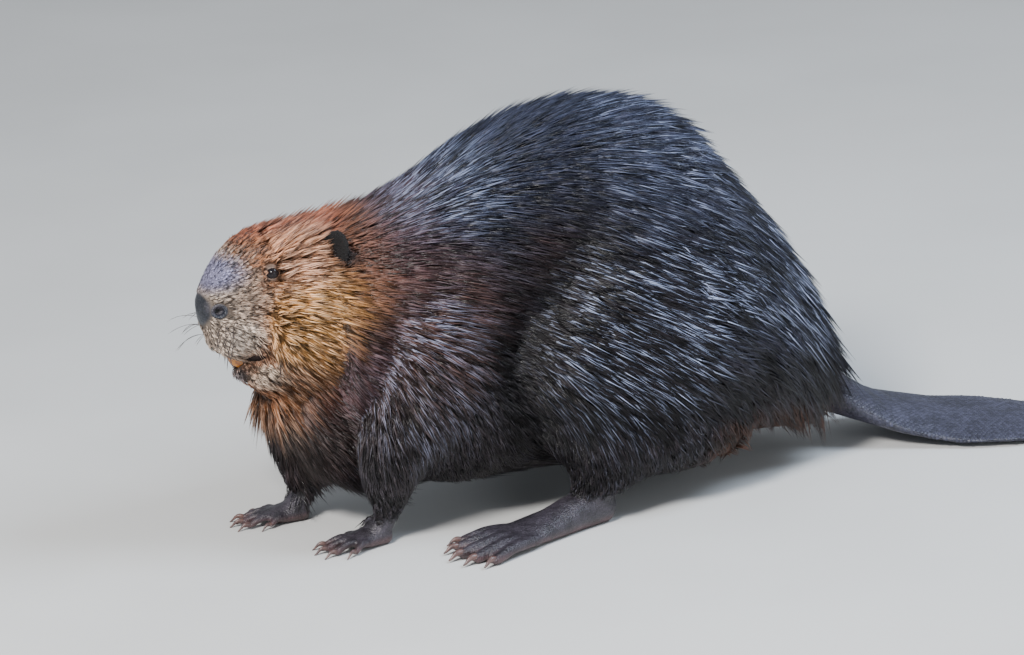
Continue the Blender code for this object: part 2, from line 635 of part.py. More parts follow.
# ---------------------------------------------------------------- the parts
coat_room = grown("coat_room", body)
incisors = blended("incisor_pair", incisor_forms(), 0.0007, 1, 170)
opened = [("DIFFERENCE", mouth_form()), ("DIFFERENCE", grown("tooth_room", incisors))]
fore_rooms, hind_rooms = [], []
for s in (NEAR, FAR):
    side_name = SIDE_NAME[s]
    eye_place = coat_point(*EYE_PLACE, s, EYE_DEPTH)
    eye = ellipsoid("eye_ball", eye_place, (EYE_RADIUS,) * 3, segments=CUTTER_SIDES)
    socket = ellipsoid("socket", eye_place, (EYE_RADIUS + CUTTER_ROOM,) * 3, segments=CUTTER_SIDES)
    nostril_place = coat_point(*NOSTRIL_PLACE, s, 0.0005)
    nostril = ellipsoid("nostril", nostril_place, (0.0050, 0.0032, 0.0028), (0, 0, s * 0.5), 10)
    opened += [("DIFFERENCE", socket), ("DIFFERENCE", nostril)]
    shell, hollow = ear_form(s)
    fore_place = (FOREPAW[s].x + s * 0.050, FOREPAW[s].y + 0.052, 0.085)
    hind_place = (s * 0.150, HEEL[s].y + 0.056, 0.115)
    fore_snug, fore_room = with_room("foreleg", fore_place, (0.084, 0.086, 0.125))
    hind_snug, hind_room = with_room("hindleg", hind_place, (0.090, 0.138, 0.150))
    fore_rooms.append(("DIFFERENCE", fore_room))
    hind_rooms.append(("DIFFERENCE", hind_room))
    node("eye_" + side_name, eye, [], EYE)
    node("ear_" + side_name, shell, [("DIFFERENCE", hollow), ("DIFFERENCE", coat_room)], DARK_FUR)
    node("foreleg_" + side_name, body, [("INTERSECT", fore_snug), ("INTERSECT", above_wrist)], DARK_FUR)
    node("hindleg_" + side_name, body, [("INTERSECT", hind_snug), ("INTERSECT", above_ankle)], DARK_FUR)
    node("forefoot_" + side_name, forefeet[s], [("INTERSECT", below_wrist), ("DIFFERENCE", floor)], BARE_SKIN)
    node("hindfoot_" + side_name, hindfeet[s], [("INTERSECT", below_ankle), ("DIFFERENCE", floor)], BARE_SKIN)
node("incisors", incisors, [], TOOTH)
node("head", body, [("INTERSECT", head_side), *opened], GOLD_FUR)
neck_steps = [("INTERSECT", neck_back), ("INTERSECT", neck_side), *fore_rooms]
trunk_steps = [("INTERSECT", trunk_back), ("INTERSECT", trunk_side), ("INTERSECT", above_wrist)]
node("neck", body, neck_steps, DARK_FUR)
node("trunk", body, trunk_steps + fore_rooms + hind_rooms, DARK_FUR)
node("tail", tail, [("INTERSECT", tail_back), ("DIFFERENCE", floor)], TAIL_SKIN)

# ---------------------------------------------------------------- the origin, on the floor under the middle
corners = np.array([vertex.co for part in parts.objects for vertex in part.data.vertices])
middle_of_all = (corners.min(axis=0) + corners.max(axis=0)) / 2
to_origin = Matrix.Translation((-middle_of_all[0], -middle_of_all[1], -corners[:, 2].min()))
for part in parts.objects:
    part.data.transform(to_origin)
    part.data.update()
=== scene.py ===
"""Looks of a life-size still model of a North American beaver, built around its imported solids.

One skin covers the solids of flesh and lies inside them by the depth of the coat. Hairs and locks of solid
mesh follow the lie of the coat over it. Eyes, teeth, claws, whiskers and tail scales are pieces of their own.
Metres, +Z up; the head looks along -Y and the animal's left is +X.
"""

import logging
import math
from dataclasses import dataclass, field
from enum import Enum, IntEnum

import bmesh
import bpy
import numpy as np
from mathutils import Matrix, Vector
from mathutils.bvhtree import BVHTree


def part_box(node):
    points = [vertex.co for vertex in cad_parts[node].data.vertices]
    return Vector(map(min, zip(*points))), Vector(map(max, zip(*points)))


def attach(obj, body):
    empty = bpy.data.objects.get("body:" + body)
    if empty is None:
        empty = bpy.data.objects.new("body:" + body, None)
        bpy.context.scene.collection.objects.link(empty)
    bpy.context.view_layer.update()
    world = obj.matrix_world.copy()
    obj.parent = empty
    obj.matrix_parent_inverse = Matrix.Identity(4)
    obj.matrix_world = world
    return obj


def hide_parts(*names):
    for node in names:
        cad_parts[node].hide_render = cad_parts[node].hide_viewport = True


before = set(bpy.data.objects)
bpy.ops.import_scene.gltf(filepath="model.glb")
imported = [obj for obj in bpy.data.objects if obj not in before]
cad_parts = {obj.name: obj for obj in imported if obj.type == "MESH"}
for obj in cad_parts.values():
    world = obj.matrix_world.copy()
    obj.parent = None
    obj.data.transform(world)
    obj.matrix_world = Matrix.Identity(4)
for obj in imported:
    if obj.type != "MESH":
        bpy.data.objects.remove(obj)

log = logging.getLogger("beaver")

Colour = tuple[float, float, float]
Value = "Wire | float | tuple"

SIDES = {"left": 1.0, "right": -1.0}
HAIRED = ("head", "neck", "trunk", "foreleg_left", "foreleg_right", "hindleg_left", "hindleg_right")
FLESH = (*HAIRED, "forefoot_left", "forefoot_right", "hindfoot_left", "hindfoot_right",
         "ear_left", "ear_right", "tail")
BAKE_MAP = "OFBake"
BAKE_PATCH = 0.003
EYE_RADIUS = 0.0080


# ---------------------------------------------------------------- node trees
class Wire:
    """An output socket with arithmetic: an expression on wires adds its Math or Vector Math nodes."""

    def __init__(self, bench: "Bench", socket: bpy.types.NodeSocket) -> None:
        """Keeps the socket and the bench that adds nodes beside it."""
        self.bench = bench
        self.socket = socket

    @property
    def wide(self) -> bool:
        """Whether it carries a vector or a colour."""
        return self.socket.type in {"VECTOR", "RGBA"}

    def _maths(self, operation: str, first: Value, second: Value) -> "Wire":
        """One Math node, or a Vector Math node where either value is wide.

        Args:
            operation: the node's operation.
            first: its first value.
            second: its second value.

        Returns:
            The result.
        """
        wide = any(isinstance(v, tuple) or getattr(v, "wide", False) for v in (first, second))
        kind = "ShaderNodeVectorMath" if wide else "ShaderNodeMath"
        return self.bench.node(kind, {"operation": operation}, {0: first, 1: second})

    def __add__(self, other: Value) -> "Wire":
        """self + other."""
        return self._maths("ADD", self, other)

    def __radd__(self, other: Value) -> "Wire":
        """other + self."""
        return self._maths("ADD", other, self)

    def __rsub__(self, other: Value) -> "Wire":
        """other - self."""
        return self._maths("SUBTRACT", other, self)

    def __mul__(self, other: Value) -> "Wire":
        """self * other."""
        return self._maths("MULTIPLY", self, other)


class Bench:
    """Adds nodes to one tree."""

    def __init__(self, tree: bpy.types.NodeTree) -> None:
        """Starts from an empty tree."""
        self.tree = tree
        tree.nodes.clear()

    def node(self, kind: str, settings: dict | None = None, inputs: dict | None = None,
             out: int | str = 0) -> Wire | None:
        """Adds a node, with its settings first and then its sockets.

        Args:
            kind: the node's type name.
            settings: properties to set.
            inputs: values or wires by socket name or number.
            out: the name or number of the output wanted.

        Returns:
            The wanted output, or None if the node has no outputs.
        """
        made = self.tree.nodes.new(kind)
        for name, value in (settings or {}).items():
            setattr(made, name, value)
        for name, value in (inputs or {}).items():
            self._feed(made.inputs[name], value)
        return Wire(self, made.outputs[out]) if made.outputs else None

    def _feed(self, socket: bpy.types.NodeSocket, value: Value) -> None:
        """Links a wire to a socket, or sets its value.

        Args:
            socket: the input.
            value: a wire, a number, or a vector or colour as a tuple.
        """
        if isinstance(value, Wire):
            self.tree.links.new(value.socket, socket)
        elif socket.type == "VECTOR" and isinstance(value, (int, float)):
            socket.default_value = (value, value, value)
        elif socket.type == "RGBA" and len(value) == 3:
            socket.default_value = (*value, 1.0)
        else:
            socket.default_value = value

    def mix(self, share: Value, first: Value, second: Value) -> Wire:
        """Two colours mixed by a share."""
        return self.node("ShaderNodeMix", {"data_type": "RGBA"}, {0: share, 6: first, 7: second}, out=2)

    def step(self, value: Wire, low: float, high: float, least: float = 0.0, most: float = 1.0) -> Wire:
        """A smooth step of a value from least to most."""
        inputs = {"Value": value, "From Min": low, "From Max": high, "To Min": least, "To Max": most}
        return self.node("ShaderNodeMapRange", {"interpolation_type": "SMOOTHSTEP"}, inputs)

    def noise(self, place: Wire, scale: float, detail: float = 3.0, rough: float = 0.5) -> Wire:
        """Noise from 0 to 1 at a scale in bumps per metre."""
        inputs = {"Vector": place, "Scale": scale, "Detail": detail, "Roughness": rough}
        return self.node("ShaderNodeTexNoise", {}, inputs)

    def cells(self, place: Wire, scale: float) -> Wire:
        """Distance from the nearest seed in a pattern of cells."""
        return self.node("ShaderNodeTexVoronoi", {}, {"Vector": place, "Scale": scale})

    def here(self) -> Wire:
        """Object coordinates."""
        return self.node("ShaderNodeTexCoord", out="Object")

    def mark(self, name: str, out: str = "Fac") -> Wire:
        """A named attribute of the piece."""
        return self.node("ShaderNodeAttribute", {"attribute_name": name}, {}, out=out)


@dataclass(frozen=True)
class Finish:
    """A surface: its name, its even roughness, its shine and a clear coat over it."""

    name: str
    roughness: float = 0.5
    shine: float = 0.5
    coat: float = 0.0
    coat_roughness: float = 0.12

    def colour(self, bench: Bench) -> Value:
        """The colour over the surface."""
        raise NotImplementedError

    def rough(self, bench: Bench) -> Value:
        """The roughness over the surface."""
        return self.roughness

    def relief(self, bench: Bench) -> tuple[Wire, float] | None:
        """The height of fine relief and its depth in metres, if it has any."""
        return None

    def material(self) -> bpy.types.Material:
        """Builds the material.

        Returns:
            The material.
        """
        made = bpy.data.materials.new(self.name)
        made.use_nodes = True
        bench = Bench(made.node_tree)
        inputs = {"Base Color": self.colour(bench), "Roughness": self.rough(bench),
                  "Specular IOR Level": self.shine,
                  "Coat Weight": self.coat, "Coat Roughness": self.coat_roughness}
        relief = self.relief(bench)
        if relief:
            height, depth = relief
            bump = {"Height": height, "Distance": depth, "Strength": 1.0}
            inputs["Normal"] = bench.node("ShaderNodeBump", {}, bump)
        surface = bench.node("ShaderNodeBsdfPrincipled", {}, inputs)
        bench.node("ShaderNodeOutputMaterial", {}, {"Surface": surface})
        return made


# ---------------------------------------------------------------- meshes as arrays
def rows_of(items: bpy.types.bpy_prop_collection, name: str, width: int, kind: type = np.float32) -> np.ndarray:
    """Reads one property of a mesh's items.

    Args:
        items: the mesh's points, edges, triangles or attribute values.
        name: the property's name.
        width: how many numbers it has.
        kind: the type of its numbers.

    Returns:
        A row for each item.
    """
    flat = np.empty(len(items) * width, kind)
    items.foreach_get(name, flat)
    return flat.reshape(-1, width)


def places_of(mesh: bpy.types.Mesh) -> np.ndarray:
    """The mesh's points, one row each."""
    return rows_of(mesh.vertices, "co", 3).astype(float)


def set_places(mesh: bpy.types.Mesh, places: np.ndarray) -> None:
    """Moves the mesh's points."""
    mesh.vertices.foreach_set("co", places.astype(np.float32).ravel())
    mesh.update()


def edges_of(mesh: bpy.types.Mesh) -> np.ndarray:
    """The ends of the mesh's edges, one row each."""
    return rows_of(mesh.edges, "vertices", 2, np.int32)


def normals_of(mesh: bpy.types.Mesh) -> np.ndarray:
    """The outward direction at each point."""
    return rows_of(mesh.vertices, "normal", 3).astype(float)


def unit(rows: np.ndarray) -> np.ndarray:
    """Rows at length one."""
    return rows / np.maximum(np.linalg.norm(rows, axis=1, keepdims=True), 1e-9)


def step(values: np.ndarray, low: float, high: float) -> np.ndarray:
    """A smooth step from 0 at low to 1 at high."""
    share = np.clip((values - low) / (high - low), 0.0, 1.0)
    return share * share * (3 - 2 * share)


def columns(*parts: np.ndarray | float) -> np.ndarray:
    """Columns side by side, with a plain number spread over all rows."""
    return np.stack(np.broadcast_arrays(*parts), axis=1)


def relax(values: np.ndarray, edges: np.ndarray, rounds: int, share: float | np.ndarray = 0.5) -> np.ndarray:
    """Values eased toward the mean of their neighbours.

    Args:
        values: one row for each point.
        edges: the ends of each edge.
        rounds: how often.
        share: how far each round goes, for all points or for each.

    Returns:
        The eased values.
    """
    one, two = edges.T
    count = len(values)
    degree = np.maximum(np.bincount(one, minlength=count) + np.bincount(two, minlength=count), 1)
    flat = values.reshape(count, -1).astype(float)
    pull = np.broadcast_to(np.asarray(share, float).reshape(-1, 1), (count, 1))
    for _ in range(rounds):
        total = np.empty_like(flat)
        for k in range(flat.shape[1]):
            column = flat[:, k]
            total[:, k] = np.bincount(one, column[two], count) + np.bincount(two, column[one], count)
        flat = flat + pull * (total / degree[:, None] - flat)
    return flat.reshape(values.shape)


def keep(mesh: bpy.types.Mesh, name: str, values: np.ndarray) -> None:
    """Stores a number or a vector for each point under a name.

    Args:
        mesh: the mesh.
        name: the attribute's name.
        values: a number or a row for each point.
    """
    wide = values.ndim == 2
    made = mesh.attributes.new(name, "FLOAT_VECTOR" if wide else "FLOAT", "POINT")
    made.data.foreach_set("vector" if wide else "value", values.astype(np.float32).ravel())


def piece_from(name: str, mesh: bmesh.types.BMesh | bpy.types.Mesh) -> bpy.types.Object:
    """A scene object at the origin that holds a mesh.

    Args:
        name: the object's name.
        mesh: the mesh, which is freed if it is a bmesh.

    Returns:
        The object.
    """
    data = mesh
    if isinstance(mesh, bmesh.types.BMesh):
        data = bpy.data.meshes.new(name)
        mesh.to_mesh(data)
        mesh.free()
    made = bpy.data.objects.new(name, data)
    bpy.context.scene.collection.objects.link(made)
    return made


def settled(name: str, source: bpy.types.Object) -> bpy.types.Object:
    """A plain object of what the source's modifiers make. The source is removed.

    Args:
        name: the new object's name.
        source: the object with the modifiers.

    Returns:
        The plain object.
    """
    bpy.context.view_layer.update()
    graph = bpy.context.evaluated_depsgraph_get()
    data = bpy.data.meshes.new_from_object(source.evaluated_get(graph), depsgraph=graph)
    data.name = name
    bpy.data.objects.remove(source, do_unlink=True)
    return piece_from(name, data)


def hand_over(piece: bpy.types.Object, slot: str, *nodes: str) -> None:
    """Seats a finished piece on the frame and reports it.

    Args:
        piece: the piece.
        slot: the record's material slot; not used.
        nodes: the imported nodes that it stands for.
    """
    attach(piece, "root")
    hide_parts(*nodes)
    log.info("%s: %d faces", piece.name, len(piece.data.polygons))


def seat(name: str, mesh: bmesh.types.BMesh, material: bpy.types.Material, slot: str, *nodes: str) -> None:
    """Makes a smooth piece of a mesh, dresses it and hands it over.

    Args:
        name: the piece's name.
        mesh: its mesh.
        material: its finish.
        slot: the record's material slot.
        nodes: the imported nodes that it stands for.
    """
    piece = piece_from(name, mesh)
    piece.data.shade_smooth()
    piece.data.materials.append(material)
    hand_over(piece, slot, *nodes)


# ---------------------------------------------------------------- the animal's own places
def middle_of(node: str) -> Vector:
    """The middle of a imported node's box."""
    low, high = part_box(node)
    return (low + high) / 2


@dataclass(frozen=True)
class HeadFrame:
    """Places on the head: out to the animal's left, back from the nose tip, and up."""

    nose: Vector
    side: Vector
    back: Vector
    up: Vector

    @classmethod
    def from_eyes(cls, eye_back: float = 0.0655, eye_rise: float = 0.0320) -> "HeadFrame":
        """The frame that the two eyes give, with the nose tip ahead of them and below.

        Args:
            eye_back: how far the eyes lie behind the nose tip.
            eye_rise: how far they lie above it.

        Returns:
            The frame.
        """
        left, right = middle_of("eye_left"), middle_of("eye_right")
        side = (left - right).normalized()
        back = (Vector((0, 1, 0)) - side * side.y).normalized()
        up = side.cross(back)
        return cls((left + right) / 2 - back * eye_back - up * eye_rise, side, back, up)

    def place(self, out: float, back: float, rise: float) -> Vector:
        """A place on the head, in the world."""
        return self.nose + self.side * out + self.back * back + self.up * rise

    def measure(self, places: np.ndarray) -> np.ndarray:
        """World places as rows of out, back and rise."""
        axes = np.array([self.side, self.back, self.up]).T
        return (places - np.array(self.nose)) @ axes

    def gaze(self, sign: float) -> Vector:
        """The way an eye looks: the left one for 1, the right one for -1."""
        return self.side * sign * 0.95 - self.back * 0.22 + self.up * 0.10


HEAD = HeadFrame.from_eyes()
# The left nostril and the line of the mouth, as out, back and rise from the nose tip.
NOSTRIL = (0.0205, 0.0175, 0.0000)
MOUTH_LINE = ((0.016, 0.030, -0.0560), (0.024, 0.044, -0.0505),
              (0.033, 0.057, -0.0455), (0.040, 0.070, -0.0430))
# The fold in front of the haunch, on the animal's middle plane.
FOLD_LINE = ((0, -0.140, 0.335), (0, -0.150, 0.270), (0, -0.180, 0.212),
             (0, -0.176, 0.150), (0, -0.150, 0.105))


def mirrored(places: np.ndarray) -> np.ndarray:
    """Places with both sides folded onto the left."""
    return places * (0, 1, 1) + np.abs(places) * (1, 0, 0)


def flattened(places: np.ndarray) -> np.ndarray:
    """Places moved sideways onto the animal's middle plane."""
    return places * (0, 1, 1)


def distance_to(places: np.ndarray, point: Vector) -> np.ndarray:
    """How far each place is from a point."""
    return np.linalg.norm(places - np.array(point), axis=1)


def distance_to_line(places: np.ndarray, line: tuple) -> np.ndarray:
    """How far each place is from a bent line.

    Args:
        places: the places.
        line: the line's points.

    Returns:
        A distance for each place.
    """
    nearest = np.full(len(places), np.inf)
    for start, end in zip(line, line[1:]):
        start, along = np.array(start, float), np.array(end, float) - np.array(start, float)
        share = np.clip((places - start) @ along / (along @ along), 0.0, 1.0)
        nearest = np.minimum(nearest, np.linalg.norm(places - start - share[:, None] * along, axis=1))
    return nearest


def blob(places: np.ndarray, middle: tuple, radii: tuple, inner: float = 0.4) -> np.ndarray:
    """A soft mask: 1 inside a stretched ball, falling to 0 at its surface."""
    reach = np.linalg.norm((places - np.array(middle)) / np.array(radii), axis=1)
    return 1 - step(reach, inner, 1.0)


def share_of(zone: dict[str, np.ndarray], *words: str) -> np.ndarray:
    """The share at each point of every node whose name holds one of the words."""
    return sum(share for name, share in zone.items() if any(word in name for word in words))


class Zones:
    """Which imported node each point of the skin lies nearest, softened across their borders."""

    def __init__(self) -> None:
        """Gathers the flesh nodes' triangles into one search tree."""
        places, faces, self.owner = [], [], []
        for number, name in enumerate(FLESH):
            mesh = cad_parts[name].data
            start = len(places)
            places += [v.co.copy() for v in mesh.vertices]
            faces += [[start + i for i in p.vertices] for p in mesh.polygons]
            self.owner += [number] * len(mesh.polygons)
        self.owner = np.array(self.owner)
        self.tree = BVHTree.FromPolygons(places, faces)

    def soft(self, places: np.ndarray, edges: np.ndarray, rounds: int) -> dict[str, np.ndarray]:
        """The share of each node at each point.

        Args:
            places: the skin's points.
            edges: its edges.
            rounds: how far the borders are softened.

        Returns:
            An array for each node's name.
        """
        nearest = np.array([self.tree.find_nearest(p)[2] for p in places.tolist()])
        shares = np.eye(len(FLESH))[self.owner[nearest]]
        shares = relax(shares, edges, rounds)
        return dict(zip(FLESH, shares.T))

    def name_at(self, place: Vector) -> str:
        """The flesh node that a place lies nearest."""
        return FLESH[self.owner[self.tree.find_nearest(place)[2]]]


ZONES = Zones()


# ---------------------------------------------------------------- skin
@dataclass
class Skin:
    """The one skin: made from the flesh solids, drawn in by the coat's depth, and given its features."""

    grain: float = 0.0018
    overlap: float = 0.0005
    coarse_target: int = 160000
    depth_share: float = 0.23
    eye_room: float = 0.014
    nostril_room: float = 0.010
    lip_room: float = 0.007
    lip_place: float = 0.0042
    lip_width: float = 0.0018
    lip_height: float = 0.0012
    mouth_depth: float = 0.0030
    fold_width: float = 0.030
    fold_depth: float = 0.0120
    nostril_radii: tuple[float, float, float] = (0.0090, 0.0046, 0.0042)
    nostril_depth: float = 0.0050
    wing_height: float = 0.0010
    groove_width: float = 0.0012
    groove_depth: float = 0.0012
    lid_half_width: float = 0.0060
    lid_half_height: float = 0.0050
    lid_thickness: float = 0.0008
    lid_fold: float = 0.0007

    def build(self) -> bpy.types.Object:
        """Makes the skin.

        Returns:
            The sculpted skin.
        """
        skin = self._fused()
        self._draw_in(skin)
        skin = self._thinned(skin)
        self._refine(skin)
        self._sculpt(skin)
        skin.data.shade_smooth()
        log.info("skin: %d triangles", sum(len(p.vertices) - 2 for p in skin.data.polygons))
        return skin

    def _fused(self) -> bpy.types.Object:
        """Copies of the flesh solids and of the eyes that fill their sockets, swollen and fused into one.

        Returns:
            The lump.
        """
        whole = bmesh.new()
        for name in (*FLESH, "eye_left", "eye_right"):
            part = bmesh.new()
            part.from_mesh(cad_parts[name].data)
            bmesh.ops.remove_doubles(part, verts=part.verts, dist=1e-5)
            part.normal_update()
            for vertex in part.verts:
                vertex.co += vertex.normal * self.overlap
            copy = bpy.data.meshes.new(name + "_copy")
            part.to_mesh(copy)
            part.free()
            whole.from_mesh(copy)
        lump = piece_from("skin_lump", whole)
        fuse = lump.modifiers.new("fuse", "REMESH")
        fuse.mode = "VOXEL"
        fuse.voxel_size = self.grain
        return settled("skin", lump)

    def _draw_in(self, skin: bpy.types.Object) -> None:
        """Smooths the facets away and moves the skin inward by the coat's depth.

        Args:
            skin: the fused skin.
        """
        mesh = skin.data
        places, edges = places_of(mesh), edges_of(mesh)
        zone = ZONES.soft(places, edges, 10)
        bare = share_of(zone, "foot", "tail", "ear")
        head = HEAD.measure(places)
        face = zone["head"] * (1 - step(head[:, 1], 0.05, 0.10))
        places = relax(places, edges, 6, 0.5)
        places = relax(places, edges, 60, 0.6 * np.clip(1 - bare - face, 0.0, 1.0))
        set_places(mesh, places)
        out = unit(relax(normals_of(mesh), edges, 12))
        hair = Coat.length_at(places, zone)
        depth = relax(self.depth_share * hair * (1 - 0.9 * np.clip(bare, 0, 1)), edges, 10)
        set_places(mesh, places - out * depth[:, None])

    def _thinned(self, skin: bpy.types.Object) -> bpy.types.Object:
        """Fewer faces under the long coat, all of them where the skin shows.

        Args:
            skin: the drawn-in skin, which is removed.

        Returns:
            The thinned skin.
        """
        places = places_of(skin.data)
        head = HEAD.measure(places)
        edges = edges_of(skin.data)
        zone = ZONES.soft(places, edges, 4)
        shown = share_of(zone, "foot", "tail", "ear") + zone["head"] * (head[:, 1] < 0.075)
        group = skin.vertex_groups.new(name="coarse")
        hidden = np.flatnonzero(shown < 0.2)
        group.add(hidden.tolist(), 1.0, "REPLACE")
        thin = skin.modifiers.new("thin", "DECIMATE")
        thin.vertex_group = "coarse"
        thin.use_collapse_triangulate = True
        thin.ratio = min(1.0, self.coarse_target / (2 * len(skin.data.polygons)))
        made = settled("skin", skin)
        made.vertex_groups.clear()
        return made

    def _refine(self, skin: bpy.types.Object) -> None:
        """Finer faces round the eyes, the nostrils and the lips.

        Args:
            skin: the thinned skin.
        """
        spots = [(middle_of("eye_" + side), self.eye_room) for side in SIDES]
        spots += [(HEAD.place(sign * NOSTRIL[0], *NOSTRIL[1:]), self.nostril_room) for sign in SIDES.values()]
        lips = [(HEAD.place(sign * out, *rest), self.lip_room)
                for sign in SIDES.values() for out, *rest in MOUTH_LINE]
        mesh = bmesh.new()
        mesh.from_mesh(skin.data)
        for wanted in (spots + lips, spots):
            near = [edge for edge in mesh.edges
                    if any((edge.verts[0].co - spot).length < reach for spot, reach in wanted)]
            bmesh.ops.subdivide_edges(mesh, edges=near, cuts=1, use_grid_fill=True)
            bmesh.ops.triangulate(mesh, faces=mesh.faces)
        mesh.to_mesh(skin.data)
        mesh.free()

    def _sculpt(self, skin: bpy.types.Object) -> None:
        """Lids, nostrils, nose pad, philtrum and the fold before the haunch.

        Args:
            skin: the refined skin.
        """
        mesh = skin.data
        places = places_of(mesh)
        head = mirrored(HEAD.measure(places))
        out = unit(relax(normals_of(mesh), edges_of(mesh), 4))
        places = self._nose(places, head, out)
        lips = distance_to_line(head, MOUTH_LINE)
        front = step(head[:, 1], 0.028, 0.036)
        ridge = np.exp(-((lips - self.lip_place) / self.lip_width) ** 2)
        places = places + out * (self.lip_height * ridge * front)[:, None]
        places = places - out * (self.mouth_depth * (1 - step(lips, 0.0006, 0.0026)) * front)[:, None]
        fold = distance_to_line(flattened(places), FOLD_LINE)
        beside = step(np.abs(places[:, 0]), 0.085, 0.115)
        places = places - out * (self.fold_depth * np.exp(-((fold / self.fold_width) ** 2)) * beside)[:, None]
        for side, sign in SIDES.items():
            places = self._lids(places, middle_of("eye_" + side), sign)
        set_places(mesh, places)

    def _nose(self, places: np.ndarray, head: np.ndarray, out: np.ndarray) -> np.ndarray:
        """The nostrils sunk in, the wing raised round each, and the groove down to the lip.

        Args:
            places: the skin's points.
            head: the same on the head, folded onto its left.
            out: the outward direction at each point.

        Returns:
            The moved points.
        """
        away = (head - np.array(NOSTRIL)) / np.array(self.nostril_radii)
        reach = np.linalg.norm(away, axis=1)
        rise = self.wing_height * np.exp(-((reach - 1.45) ** 2) / 0.12)
        rise = rise - self.nostril_depth * (1 - step(reach, 0.35, 1.10))
        groove = np.exp(-((head[:, 0] / self.groove_width) ** 2)) * step(-head[:, 2], 0.006, 0.012)
        groove = groove * (1 - step(-head[:, 2], 0.040, 0.046)) * (head[:, 1] < 0.035)
        return places + out * (rise - self.groove_depth * groove)[:, None]

    def _lids(self, places: np.ndarray, eye: Vector, sign: float) -> np.ndarray:
        """An almond opening over the eyeball, a lid round it and a shallow fold outside the lid.

        Args:
            places: the skin's points.
            eye: the eyeball's middle.
            sign: 1 for the left eye, -1 for the right.

        Returns:
            The moved points.
        """
        look = HEAD.gaze(sign).normalized()
        across = (HEAD.back - look * HEAD.back.dot(look)).normalized()
        upward = (HEAD.up - look * HEAD.up.dot(look)).normalized()
        local = (places - np.array(eye)) @ np.array([across, upward, look]).T
        width, height, depth = local.T
        reach = np.hypot(width / self.lid_half_width, height / self.lid_half_height)
        flat = np.hypot(width, height)
        ahead = (depth > -0.006) & (flat < 0.020)
        ball = np.sqrt(np.maximum((EYE_RADIUS * 0.80) ** 2 - flat ** 2, (0.25 * EYE_RADIUS) ** 2))
        lid = np.sqrt(np.maximum((EYE_RADIUS + self.lid_thickness) ** 2 - flat ** 2, 0.0))
        lid = np.maximum(lid, depth - 0.002 - 0.004 * step(flat, 0.008, 0.010))
        blend = step(reach, 1.15, 2.1)
        fold = -self.lid_fold * np.exp(-((reach - 1.9) ** 2) / 0.05)
        target = np.where(reach < 1.0, np.minimum(ball, depth), lid * (1 - blend) + (depth + fold) * blend)
        moved = np.where(ahead, target, depth)
        return places + np.outer(moved - depth, np.array(look))


# ---------------------------------------------------------------- the coat's measures and markings
class Tint(Enum):
    """Colours of the coat and of bare skin, with painted sky sheen and painted shade among them."""

    DARK = (0.016, 0.011, 0.014)
    SHADE = (0.007, 0.005, 0.007)
    # Painted bluish sky sheen on the crest, the back and the haunch.
    CREST = (0.046, 0.050, 0.086)
    FROST = (0.022, 0.025, 0.050)
    UNDER = (0.064, 0.024, 0.011)
    NECK = (0.068, 0.028, 0.026)
    BROWN = (0.076, 0.032, 0.024)
    SHOULDER = (0.070, 0.044, 0.042)
    RUSSET = (0.230, 0.088, 0.036)
    RUST = (0.150, 0.048, 0.008)
    GOLD = (0.475, 0.225, 0.058)
    SAND = (0.500, 0.235, 0.125)
    CROWN = (0.310, 0.095, 0.048)
    BLUE_GREY = (0.240, 0.228, 0.345)
    MUZZLE = (0.560, 0.440, 0.350)
    CREAM = (0.600, 0.480, 0.380)
    PALE = (0.700, 0.590, 0.500)
    MOTTLE = (0.200, 0.135, 0.100)
    CHIN = (0.150, 0.130, 0.140)
    THROAT = (0.045, 0.029, 0.026)
    LEG = (0.030, 0.023, 0.026)
    EAR = (0.014, 0.010, 0.011)
    PAD = (0.016, 0.018, 0.027)
    WING = (0.110, 0.095, 0.110)
    # Painted shade inside the nostrils.
    PIT = (0.006, 0.004, 0.004)
    LIP = (0.030, 0.020, 0.020)
    LID = (0.200, 0.135, 0.105)
    LID_CORNER = (0.050, 0.028, 0.020)
    FOOT = (0.034, 0.029, 0.038)
    TOE = (0.080, 0.036, 0.036)
    PADDLE = (0.036, 0.037, 0.060)
    PADDLE_ROOT = (0.050, 0.030, 0.034)


@dataclass(frozen=True)
class Patch:
    """A soft patch of colour on the head, with its middle and its radii as out, back and rise."""

    tint: Tint
    middle: tuple[float, float, float]
    radii: tuple[float, float, float]
    share: float = 1.0
    inner: float = 0.4

    def mask(self, head: np.ndarray, is_head: np.ndarray) -> np.ndarray:
        """How strongly it shows at each place."""
        return self.share * is_head * blob(head, self.middle, self.radii, self.inner)


